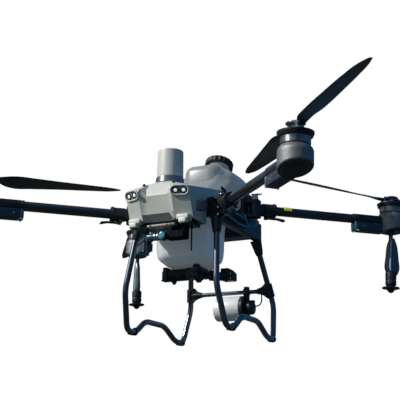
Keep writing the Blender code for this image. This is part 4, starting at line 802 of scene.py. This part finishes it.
def make_crossbar():
    """The bar between the rear legs: a straight tube, cones with kite-shaped gussets, and the sockets."""
    left = leg_point(1, BAR_HEIGHT)
    where = shift(-left[0], left[1], BAR_HEIGHT) @ ALONG_X
    bar = spaced([(BAR_RADIUS, 0.012), (BAR_RADIUS, 2 * left[0] - 0.012)], 0.02)
    inner, wall, long = GEAR_RADIUS + CLEAR, GEAR_RADIUS + 0.006, SOCKET_LENGTH
    sleeve = [(inner, 0.0), (wall - 0.0015, 0.0), (wall, 0.0015), (wall, long - 0.0015),
              (wall - 0.0015, long), (inner, long)]
    gusset = np.array([(-0.004, 0.037), (-0.014, 0.036), (-0.032, 0.02), (-0.054, 0.0125), (-0.054, -0.0125),
                       (-0.032, -0.02), (-0.014, -0.036), (-0.004, -0.037)])
    sockets = []
    for side, _ in SIDES:
        middle = leg_point(side, BAR_HEIGHT)
        reach = leg_point(side, BAR_HEIGHT + 0.1) - middle
        reach /= np.linalg.norm(reach)
        sockets.append(lathe(sleeve, aim(middle - reach * long / 2, middle)[0], 32))
        cone, run = aim(middle - np.array([side * CONE_LENGTH, 0, 0]), middle)
        ribs = [(BAR_RADIUS + 0.0005, -0.002), (BAR_RADIUS + 0.003, 0.0)]
        for k in range(4):
            x, r = 0.004 + 0.0095 * k, 0.0125 + 0.0012 * k
            ribs += [(r + 0.0008, x), (r + 0.001, x + 0.005), (r - 0.0006, x + 0.006),
                     (r - 0.0006, x + 0.0085)]
        ribs.append((0.0165, run - 0.012))
        sockets.append(lathe(ribs, cone, 28))
        lean = (leg_point(side, BAR_HEIGHT + 0.037) - middle)[0] / 0.037
        kite = np.stack([side * gusset[:, 0] + lean * gusset[:, 1], gusset[:, 1]], -1)
        sockets.append(prism(softened(kite, 0.004), -0.007, 0.007, 0.002, shift(*middle) @ FACE_FRONT))
    piece("crossbar_tube", [lathe(bar, where, 28)], GEAR, stands_for=["crossbar"])
    piece("crossbar_sockets", sockets, FRAME)


def make_rear_radar():
    """The lying radar drum with rounded ends, a bolt on its clamp and a plug on its end cap."""
    bar_y = leg_point(1, BAR_HEIGHT)[1]
    spot = shift(DRUM_LEFT, bar_y, DRUM_HEIGHT)
    r, far, edge = DRUM_RADIUS, -DRUM_LENGTH, 0.01
    t = np.linspace(0, QUARTER, 7)
    end = np.stack([r - edge + edge * np.sin(t), far + edge - edge * np.cos(t)], -1)
    wall = np.concatenate([[(0.012, far)], end, [(r, -0.003), (r - 0.001, -0.0008), (r - 0.004, 0.0)]])
    piece("rear_cover", [lathe(wall, spot @ ALONG_X, 96)], SILVER, stands_for=["rear_radar_drum"])
    clamp = shift(DRUM_LEFT + 0.0193, bar_y, BAR_HEIGHT)
    knob = [(0.01, BAR_RADIUS), (0.01, 0.0175), (0.0135, 0.018), (0.0135, 0.0225), (0.011, 0.025),
            (0.002, 0.0255)]
    ring = [(BAR_RADIUS, -0.011), (0.0178, -0.011), (0.0178, 0.011), (BAR_RADIUS, 0.011)]
    bands = [turned(knob, 0.001, 3, clamp, 28), turned(ring, 0.0012, 3, clamp @ ALONG_X, 32)]
    piece("clamp_knob", bands, DARK_METAL)
    spot = spot @ shift(CLEAR, 0, 0)
    cap = [(0.02, 0.02), (0.0325, 0.021), (0.0325, 0.048), (0.029, 0.0545), (0.006, 0.0556)]
    piece("drum_motor", [turned(cap, 0.003, 4, spot @ ALONG_X, 48)], FRAME)
    piece("drum_plug", [box((0.03, -0.008, 0.022), (0.06, 0.008, 0.034), 0.003, spot)], BLACK)


def make_cable():
    """The lead of the rear radar: straight out of its end cap, a quarter circle, and up to the crossbar."""
    left_x, y, _ = leg_point(1, BAR_HEIGHT)
    start = DRUM_LEFT + CLEAR + 0.056 + CLEAR
    level = DRUM_HEIGHT + 0.006
    turn_x = start + 0.012
    end_x = turn_x + CABLE_BEND
    share = (end_x - left_x + CONE_LENGTH) / CONE_LENGTH
    cone = BAR_RADIUS + 0.003 + (GEAR_RADIUS + 0.001 - BAR_RADIUS) * share
    t = np.linspace(0, QUARTER, 12)
    out = turn_x + CABLE_BEND * np.sin(t)
    bend = np.stack([out, np.full(12, y), level + CABLE_BEND * (1 - np.cos(t))], -1)
    line = np.concatenate([[(start, y, level)], bend, [(end_x, y, BAR_HEIGHT - cone - 0.001)]])
    path = spaced(line, 0.003)
    shells = [sweep(path, CABLE_RADIUS, (0, 1, 0), 16)]
    cable = piece("radar_lead", shells, RUBBER, stands_for=["radar_cable"])


# Arms


def blade_surface(place_at, hand):
    """A blade: sections of chord c and thickness t along the span, turned by the twist.

    A section goes from a rounded bar, 0.5 cos^0.6 by 0.5 sin^0.6, to a wing whose
    half thickness follows 2.6 sqrt(x) (1 - x) with more above than below.
    """
    table = np.array([
        (0.00, 0.026, 0.0115, 0.0, 0.0), (0.045, 0.026, 0.0115, 0.0, 0.0), (0.085, 0.038, 0.0105, 0.55, 0.45),
        (0.14, 0.72 * BLADE_CHORD, 0.009, 1.0, 1.0), (0.22, BLADE_CHORD, 0.0075, 0.96, 1.0),
        (0.34, 0.97 * BLADE_CHORD, 0.0062, 0.8, 1.0), (0.55, 0.8 * BLADE_CHORD, 0.005, 0.6, 1.0),
        (0.78, 0.62 * BLADE_CHORD, 0.004, 0.47, 1.0), (0.94, BLADE_TIP, 0.0028, 0.4, 1.0),
        (1.00, 0.4 * BLADE_TIP, 0.0018, 0.38, 1.0),
    ])
    at = np.concatenate([np.linspace(0.0, 0.2, 28), np.linspace(0.22, 0.93, 40), np.linspace(0.94, 1.0, 12)])
    chord, thick, twist, wing = (flowing(table[:, 0], table[:, k], at)[:, None] for k in range(1, 5))
    wing = np.clip(wing, 0.0, 1.0)
    c, s = np.cos(circle(48)), np.sin(circle(48))
    bar_x = -0.5 * np.sign(c) * np.abs(c) ** 0.6
    bar_z = 0.5 * np.sign(s) * np.abs(s) ** 0.6
    back = (1 - c) / 2
    shape = 2.6 * np.sqrt(back) * (1 - back) + 0.05
    wing_x = back - 0.38
    wing_z = np.where(s >= 0, 0.6, -0.34) * shape
    across = (bar_x + (wing_x - bar_x) * wing) * chord
    up = (bar_z + (wing_z - bar_z) * wing) * thick
    twist = np.radians(BLADE_TWIST) * twist
    y = hand * (across * np.cos(twist) + up * np.sin(twist))
    z = up * np.cos(twist) - across * np.sin(twist)
    x = np.broadcast_to((at * (ROTOR_RADIUS - HUB_PIVOT))[:, None], y.shape)
    return loft(x, y, z, place_at)


def make_blades(corner, rotor, hand):
    """Two blades on their bolts, each with a round lug."""
    middle = (SLOT_LOW + SLOT_HIGH) / 2
    r, half = LUG_RADIUS, LUG_HEIGHT / 2
    lug = [(0.0054, -half), (r - 0.001, -half), (r, -half + 0.001), (r, half - 0.001), (r - 0.001, half),
           (0.0054, half)]
    for name, angle in (("out", 0.0), ("in", math.pi)):
        pivot = rotor @ turn("Z", angle) @ shift(HUB_PIVOT, 0, middle)
        body = f"blade_{corner}_{name}"
        shells = [blade_surface(pivot, hand), lathe(lug, pivot, 32)]
        piece(f"prop_{corner}_{name}", shells, BLADE, body, [body])


def make_motor(corner, motor):
    """The turning part: a dark dished flange, a bright turned ring with a groove, bolts and a hub plate."""
    body = f"rotor_{corner}"
    wide, rim, thick = FLANGE_RADIUS, FLANGE_RIM, FLANGE_THICK
    r, low = BELL_RADIUS, -BELL_HEIGHT
    disc = [(0.0, 0.0), (wide - 0.016, 0.0), (wide - 0.006, rim), (wide, rim), (wide, rim - 0.005),
            (wide - 0.005, -thick), (r - 0.001, -thick - 0.002), (0.03, -thick - 0.002)]
    piece(f"motor_flange_{corner}", [turned(disc, 0.0014, 4, motor, 72)], BLACK, body, [f"bell_{corner}"])
    ring = [(r - 0.006, -thick - 0.0015), (r, -thick - 0.0015), (r, -0.019), (r - 0.001, -0.0196),
            (r - 0.001, -0.0206), (r, -0.0212), (r, low + 0.003), (r, low + 0.002), (r - 0.0012, low),
            (r - 0.006, low)]
    piece(f"motor_ring_{corner}", [lathe(ring, motor, 96)], RING_METAL, body)
    spots = [(0.04 * math.cos(a), 0.04 * math.sin(a), 0.0002) for a in circle(8) + math.pi / 8]
    piece(f"flange_bolts_{corner}", [screw(spot, motor, 0.004, 0.0026) for spot in spots], STEEL, body)
    cover = [(0.004, -0.002), (0.0345, -0.002), (0.036, 0.002), (0.032, 0.0055), (0.02, 0.007), (0.0, 0.0075)]
    foot = [(0.004, 0.001), (0.033, 0.001), (0.033, 0.0105), (0.029, 0.0125), (0.004, 0.0125)]
    high = motor @ shift(0, 0, SLOT_HIGH + HUB_PLATE)
    shells = [turned(cover, 0.003, 4, high, 64), turned(foot, 0.002, 4, motor, 64)]
    piece(f"hub_plate_{corner}", shells, HUB_METAL, body)


def make_pod(corner, motor):
    """The pod: a turned wall whose floor is cut aslant, z = floor + slant x, over a dished base."""
    body = f"arm_{corner}"
    top = -BELL_HEIGHT - 0.0035
    r, wide, edge = BELL_RADIUS, POD_RADIUS, 0.005
    wall = rounded([(0.01, top + 0.01), (r - 0.0075, top + 0.01), (r - 0.0075, top), (r - 0.001, top),
                    (r, top - 0.003), (wide - 0.003, top - 0.011), (wide, top - 0.021), (wide, top - 0.027)],
                   0.004, 4)
    t = np.linspace(0, QUARTER, 6)
    radius = np.concatenate([wall[:, 0], np.full(4, wide), wide - edge * (1 - np.cos(t))])[:, None]
    lift = np.concatenate([np.zeros(len(wall) + 4), edge * (1 - np.sin(t))])[:, None]
    angle = circle(72)
    x = radius * np.cos(angle)
    floor = -POD_BOTTOM + POD_SLANT * x
    z = floor + lift
    count = len(wall)
    start = wall[-1, 1]
    z[:count] = wall[:, 1:]
    share = np.linspace(0.15, 0.9, 4)[:, None]
    z[count:count + 4] = start + (floor[count:count + 4] + edge - start) * share
    housing = loft(x, radius * np.sin(angle), z, motor)
    piece(f"pod_housing_{corner}", [housing], CAST, body, [f"pod_{corner}"])
    radius, drop = np.array([
        (0.058, -0.002), (0.0575, 0.001), (0.05, 0.0012), (0.0495, -0.0004), (0.047, -0.0004),
        (0.0465, 0.0012), (0.03, 0.0014), (0.0295, 0.003), (0.012, 0.0032), (0.0005, 0.0032),
    ]).T[:, :, None]
    x = radius * np.cos(angle)
    base = [loft(x, radius * np.sin(angle), -POD_BOTTOM + POD_SLANT * x - drop, motor)]
    if CORNERS[corner][1] > 0:
        high = -POD_BOTTOM + 0.02
        mount = [(0.03, high), (BOSS_RADIUS, high), (BOSS_RADIUS, -POD_BOSS), (0.01, -POD_BOSS)]
        base.append(turned(mount, 0.003, 4, motor, 56))
    piece(f"pod_base_{corner}", base, BLACK, body)


def make_controller(corner, hinge, length):
    """The sleeve at an arm's end and the speed controller under it: case, fins, plate, cap and lights."""
    body = f"arm_{corner}"
    r, near = SLEEVE_RADIUS, length - POD_RADIUS - SLEEVE_LENGTH + 0.02
    end = length - 0.03 - near
    sleeve = [(ARM_RADIUS + CLEAR, 0.0), (r - 0.001, 0.0), (r, 0.001), (r, 0.01), (r - 0.0012, 0.011),
              (r - 0.0012, 0.013), (r, 0.014), (r, end), (0.01, end)]
    piece(f"arm_sleeve_{corner}", [lathe(sleeve, hinge @ shift(near, 0, 0) @ ALONG_X, 48)], FRAME, body)
    seat = hinge @ shift(length - POD_RADIUS - ESC_LENGTH + 0.02, 0, 0)
    long, half, low = ESC_LENGTH - 0.01, ESC_WIDTH / 2 - 0.001, -ESC_DEPTH
    case = [box((0.014, -half, low + 0.0045), (long, half, -0.016), 0.006, seat)]
    for y in np.linspace(-half + 0.006, half - 0.006, FINS):
        case.append(box((0.02, y - 0.0012, low), (long - 0.006, y + 0.0012, low + 0.006), 0.0008, seat))
    slots, dots, lights = [], [], []
    for side, _ in SIDES:
        face = seat @ shift(0, side * half, -0.036) @ turn("X", -side * QUARTER)
        slots.append(prism(stadium(0.008, 0.0036), -0.002, 0.0006, 0.0003, face @ shift(long - 0.034, 0, 0)))
        dots.append(screw((0.042, 0, 0), face, 0.0034, 0.0014))
        inner, outer = side * (half - 0.004), side * (half + 0.0016)
        lights.append(box((0.006, inner, -0.0605), (0.017, outer, -0.0562), 0.0014, seat))
    piece(f"controller_case_{corner}", case, BOX_SKY_TINT, body)
    piece(f"controller_slots_{corner}", slots, RUBBER, body)
    piece(f"controller_dots_{corner}", dots, STEEL, body)
    wide = half + 0.0008
    plate = box((0.01, -wide, low + 0.0035), (long - 0.002, wide, low + 0.0075), 0.0012, seat)
    piece(f"controller_plate_{corner}", [plate], DARK_METAL, body)
    wide = half + 0.0006
    cap = box((0.0, -wide, low + 0.002), (0.0155, wide, -0.0165), 0.0045, seat)
    piece(f"controller_end_{corner}", [cap], GLAZE, body)
    piece(f"position_light_{corner}", lights, GREEN if CORNERS[corner][1] > 0 else ICE, body)


def make_tag(hinge):
    """A label bent over a tube: an outer and an inner arc carried along the arm."""
    angle = np.linspace(math.radians(62), math.radians(176), 18)
    arc = np.stack([np.cos(angle), np.sin(angle)], -1)
    ring = np.concatenate([0.0232 * arc, 0.0206 * arc[::-1]])
    along = np.linspace(0.136, 0.172, 8)[:, None]
    x, y = np.broadcast_arrays(along, ring[:, 0])
    piece("arm_tag", [loft(x, y, ring[:, 1], hinge)], TAG, "arm_rl")


def make_hinge_cap(corner, hinge):
    """The head of a hinge pin over its casting: a ring, a round cap and a short pointed lever."""
    side, rear = CORNERS[corner][0], CORNERS[corner][1] > 0
    ring = [(0.008, 0.044), (0.0195, 0.044), (0.0195, 0.047), (0.016, 0.0485), (0.008, 0.0485)]
    cap = [(0.008, 0.048), (0.0145, 0.048), (0.0145, 0.064), (0.012, 0.0675), (0.0, 0.068)]
    blade = [(-0.016, -0.007), (0.012, -0.006), (0.034, 0.0), (0.012, 0.006), (-0.016, 0.007)]
    lever = prism(softened(blade, 0.003), 0.0675, 0.0735, 0.0015, hinge @ turn("Z", -0.6 * side))
    piece(f"hinge_ring_{corner}", [turned(ring, 0.0008, 3, hinge, 32)], STEEL)
    piece(f"hinge_cap_{corner}", [turned(cap, 0.002, 4, hinge, 32)], PALE if rear else BLACK)
    piece(f"hinge_lever_{corner}", [lever], BLACK)
    if rear:
        guard = box((side * 0.146, 0.168, 0.6315), (side * 0.176, 0.204, 0.66), 0.0045)
        piece(f"hinge_guard_{corner}", [guard], FRAME)


def make_tube(corner, hinge, length):
    """The carbon tube of an arm, a straight wall between its two ends."""
    wall = spaced([(ARM_RADIUS, ARM_START), (ARM_RADIUS, length - POD_RADIUS - 0.012)], 0.02)
    tube = lathe(wall, hinge @ ALONG_X, 48)
    piece(f"arm_tube_{corner}", [tube], CARBON, f"arm_{corner}", [f"tube_{corner}"])


def make_nozzle(side, motor, corner):
    """A spray nozzle: a thin stem, a flattened fairing with a feed pipe whose pale colour is a painted
    highlight, a round head and a toothed disc.
    """
    body = f"arm_{corner}"
    top = -POD_BOSS - CLEAR
    stem = [(0.016, top), (0.016, top - 0.009), (0.013, top - 0.012), (0.01, top - 0.014),
            (0.01, -FAIRING_BOTTOM)]
    share, known, offset = np.linspace(0, 1, 30), [0, 0.16, 0.55, 0.88, 1.0], 0.006
    long = flowing(known, [0.013, 0.024, 0.034, 0.036, 0.026], share)[:, None]
    wide = flowing(known, [0.011, 0.014, 0.016, 0.017, 0.015], share)[:, None]
    z = (-FAIRING_TOP - (FAIRING_BOTTOM - FAIRING_TOP) * share)[:, None]
    angle = circle(40)
    fairing = loft(offset + long * np.cos(angle), wide * np.sin(angle), z, motor)
    piece(f"spray_fairing_{side}", [lathe(stem, motor, 28), fairing], FAIRING, body, [f"nozzle_{side}"])
    # Painted highlight: the pale feed pipe, on the flank where the sun's glint falls, stands in for the
    # bright line down the glossy stem.
    flank = FEED_GLINT_FLANK[corner]
    run = np.concatenate([offset + long * math.cos(flank), wide * math.sin(flank), z], -1)[1:27]
    piece(f"feed_pipe_painted_glint_{side}", [sweep(place(run, motor), FEED_RADIUS, (1, 0, 0), 16)], PALE, body)
    r, low, high = NOZZLE_RADIUS, -NOZZLE_BOTTOM, -FAIRING_BOTTOM
    head = [(r - 0.007, high + 0.014), (r, high + 0.008), (r, low + 0.034), (r - 0.0015, low + 0.032),
            (r - 0.0015, low + 0.029), (r, low + 0.027), (r, low + 0.01), (r - 0.007, low), (0.005, low),
            (0.005, low - 0.0115)]
    piece(f"spray_head_{side}", [turned(head, 0.0012, 3, motor, 48)], BLACK, body)
    r = DISC_RADIUS
    disc = [(0.0056, 0.0035), (0.014, 0.0035), (r - 0.002, 0.002), (r, 0.0), (r - 0.002, -0.003),
            (0.02, -0.006), (0.013, -0.018), (0.006, -0.023), (0.0, -0.024)]
    share = np.array([0, 0, 0.8, 1, 0.8, 0, 0, 0, 0])[:, None]
    notch = 0.0016 * np.clip(0.5 + np.sin(45 * circle(180)), 0, 1)
    shells = [lathe(disc, motor @ shift(0, 0, -DISC_DROP), 180, share * notch)]
    piece(f"spray_disc_{side}", shells, BLACK, f"nozzle_disc_{side}", [f"nozzle_disc_{side}"])


def make_arms():
    """All four arms."""
    for corner, (side_x, side_y) in CORNERS.items():
        hinge, motor, rotor, length = arm_frames(corner)
        make_blades(corner, rotor, side_x * side_y)
        make_motor(corner, motor)
        make_pod(corner, motor)
        make_controller(corner, hinge, length)
        make_tube(corner, hinge, length)
        make_hinge_cap(corner, hinge)
        dress(f"knuckle_{corner}", FRAME, 0.0014)
        dress(f"latch_{corner}", BLACK, 0.0008)
        dress(f"hub_{corner}", HUB_METAL, 0.0008)
        if corner == "rl":
            make_tag(hinge)
        if side_y > 0:
            make_nozzle("left" if side_x > 0 else "right", motor, corner)


# Camera, light and backdrop


def make_camera():
    """The viewpoint of the picture: low, in front of the left cheek, looking up."""
    data = bpy.data.cameras.new("camera_view")
    data.lens = LENS_MM
    data.sensor_width = SENSOR_MM
    data.clip_start = 0.05
    data.clip_end = 100.0
    item = bpy.data.objects.new("camera_view", data)
    bpy.context.scene.collection.objects.link(item)
    forward = Vector((-math.sin(YAW) * math.cos(PITCH), math.cos(YAW) * math.cos(PITCH), math.sin(PITCH)))
    right = Vector((math.cos(YAW), math.sin(YAW), 0.0))
    up = right.cross(forward)
    level_right = right * math.cos(ROLL) + up * math.sin(ROLL)
    level_up = up * math.cos(ROLL) - right * math.sin(ROLL)
    spin = Matrix((level_right, level_up, -forward)).transposed().to_4x4()
    item.matrix_world = Matrix.Translation(VIEWPOINT) @ spin
    bpy.context.scene.camera = item


def make_light():
    """A sun from the craft's front right, a blue sky on its left and a dim ground, before plain white."""
    sun = bpy.data.lights.new("sun", "SUN")
    sun.energy = SUN_ENERGY
    sun.angle = math.radians(2.0)
    sun.color = SUN_COLOUR
    item = bpy.data.objects.new("sun", sun)
    item.rotation_euler = Vector(SUNBEAM).to_track_quat("-Z", "Y").to_euler()
    bpy.context.scene.collection.objects.link(item)
    world = bpy.data.worlds.new("surround")
    bpy.context.scene.world = world
    world.use_nodes = True
    tree = world.node_tree
    tree.nodes.clear()
    spot = add(tree, "TexCoord", {})["Generated"]
    along = add(tree, "VectorMath", {0: spot, 1: SUNBEAM}, operation="DOT_PRODUCT")["Value"]
    sky = tint(tree, spread(tree, along, 0.0, 1.0, -0.95, -0.2), SKY_BY_SUN, SKY_AWAY)
    height = add(tree, "SeparateXYZ", {"Vector": spot})["Z"]
    colour = tint(tree, spread(tree, height, 0.0, 1.0, -0.25, 0.05), GROUND, sky)
    lit = add(tree, "Background", {"Color": colour})["Background"]
    seen = add(tree, "Background", {"Color": (1.0, 1.0, 1.0, 1.0)})["Background"]
    ray = add(tree, "LightPath", {})["Is Camera Ray"]
    add(tree, "OutputWorld", {"Surface": add(tree, "MixShader", {"Fac": ray, 1: lit, 2: seen})["Shader"]})
    bpy.context.scene.view_settings.view_transform = "Standard"


def make_floor():
    """A pale floor far under the hovering craft."""
    mesh = bpy.data.meshes.new("floor")
    signs = ((-1, -1), (1, -1), (1, 1), (-1, 1))
    mesh.from_pydata([(x * FLOOR_HALF, y * FLOOR_HALF, FLOOR_HEIGHT) for x, y in signs], [], [(0, 1, 2, 3)])
    item = bpy.data.objects.new("floor", mesh)
    item.data.materials.append(moulded("pale_floor", (0.86, 0.86, 0.86), 0.02, 0.7, 0.004, 0.05))
    item.visible_diffuse = False
    item.visible_glossy = False
    bpy.context.scene.collection.objects.link(item)


make_camera()
make_light()
make_floor()
make_cable()
make_lamps()
make_front_radar()
make_under_nose()
make_nose_trim()
make_tank()
make_pump()
make_hoses()
make_skids()
make_crossbar()
make_rear_radar()
make_arms()
for plain_node, plain_finish, bevel in (
    ("nose_shell", SHELL, 0.004), ("nose_tray", BLACK, 0.002), ("avionics_box", BLACK, 0.002),
    ("camera_yoke", YOKE, 0.002), ("centre_frame", FRAME, 0.0016), ("battery", BLACK, 0.003),
    ("power_button", STEEL, 0.0005), ("rear_radar_bracket", BLACK, 0.0016),
):
    dress(plain_node, plain_finish, bevel)
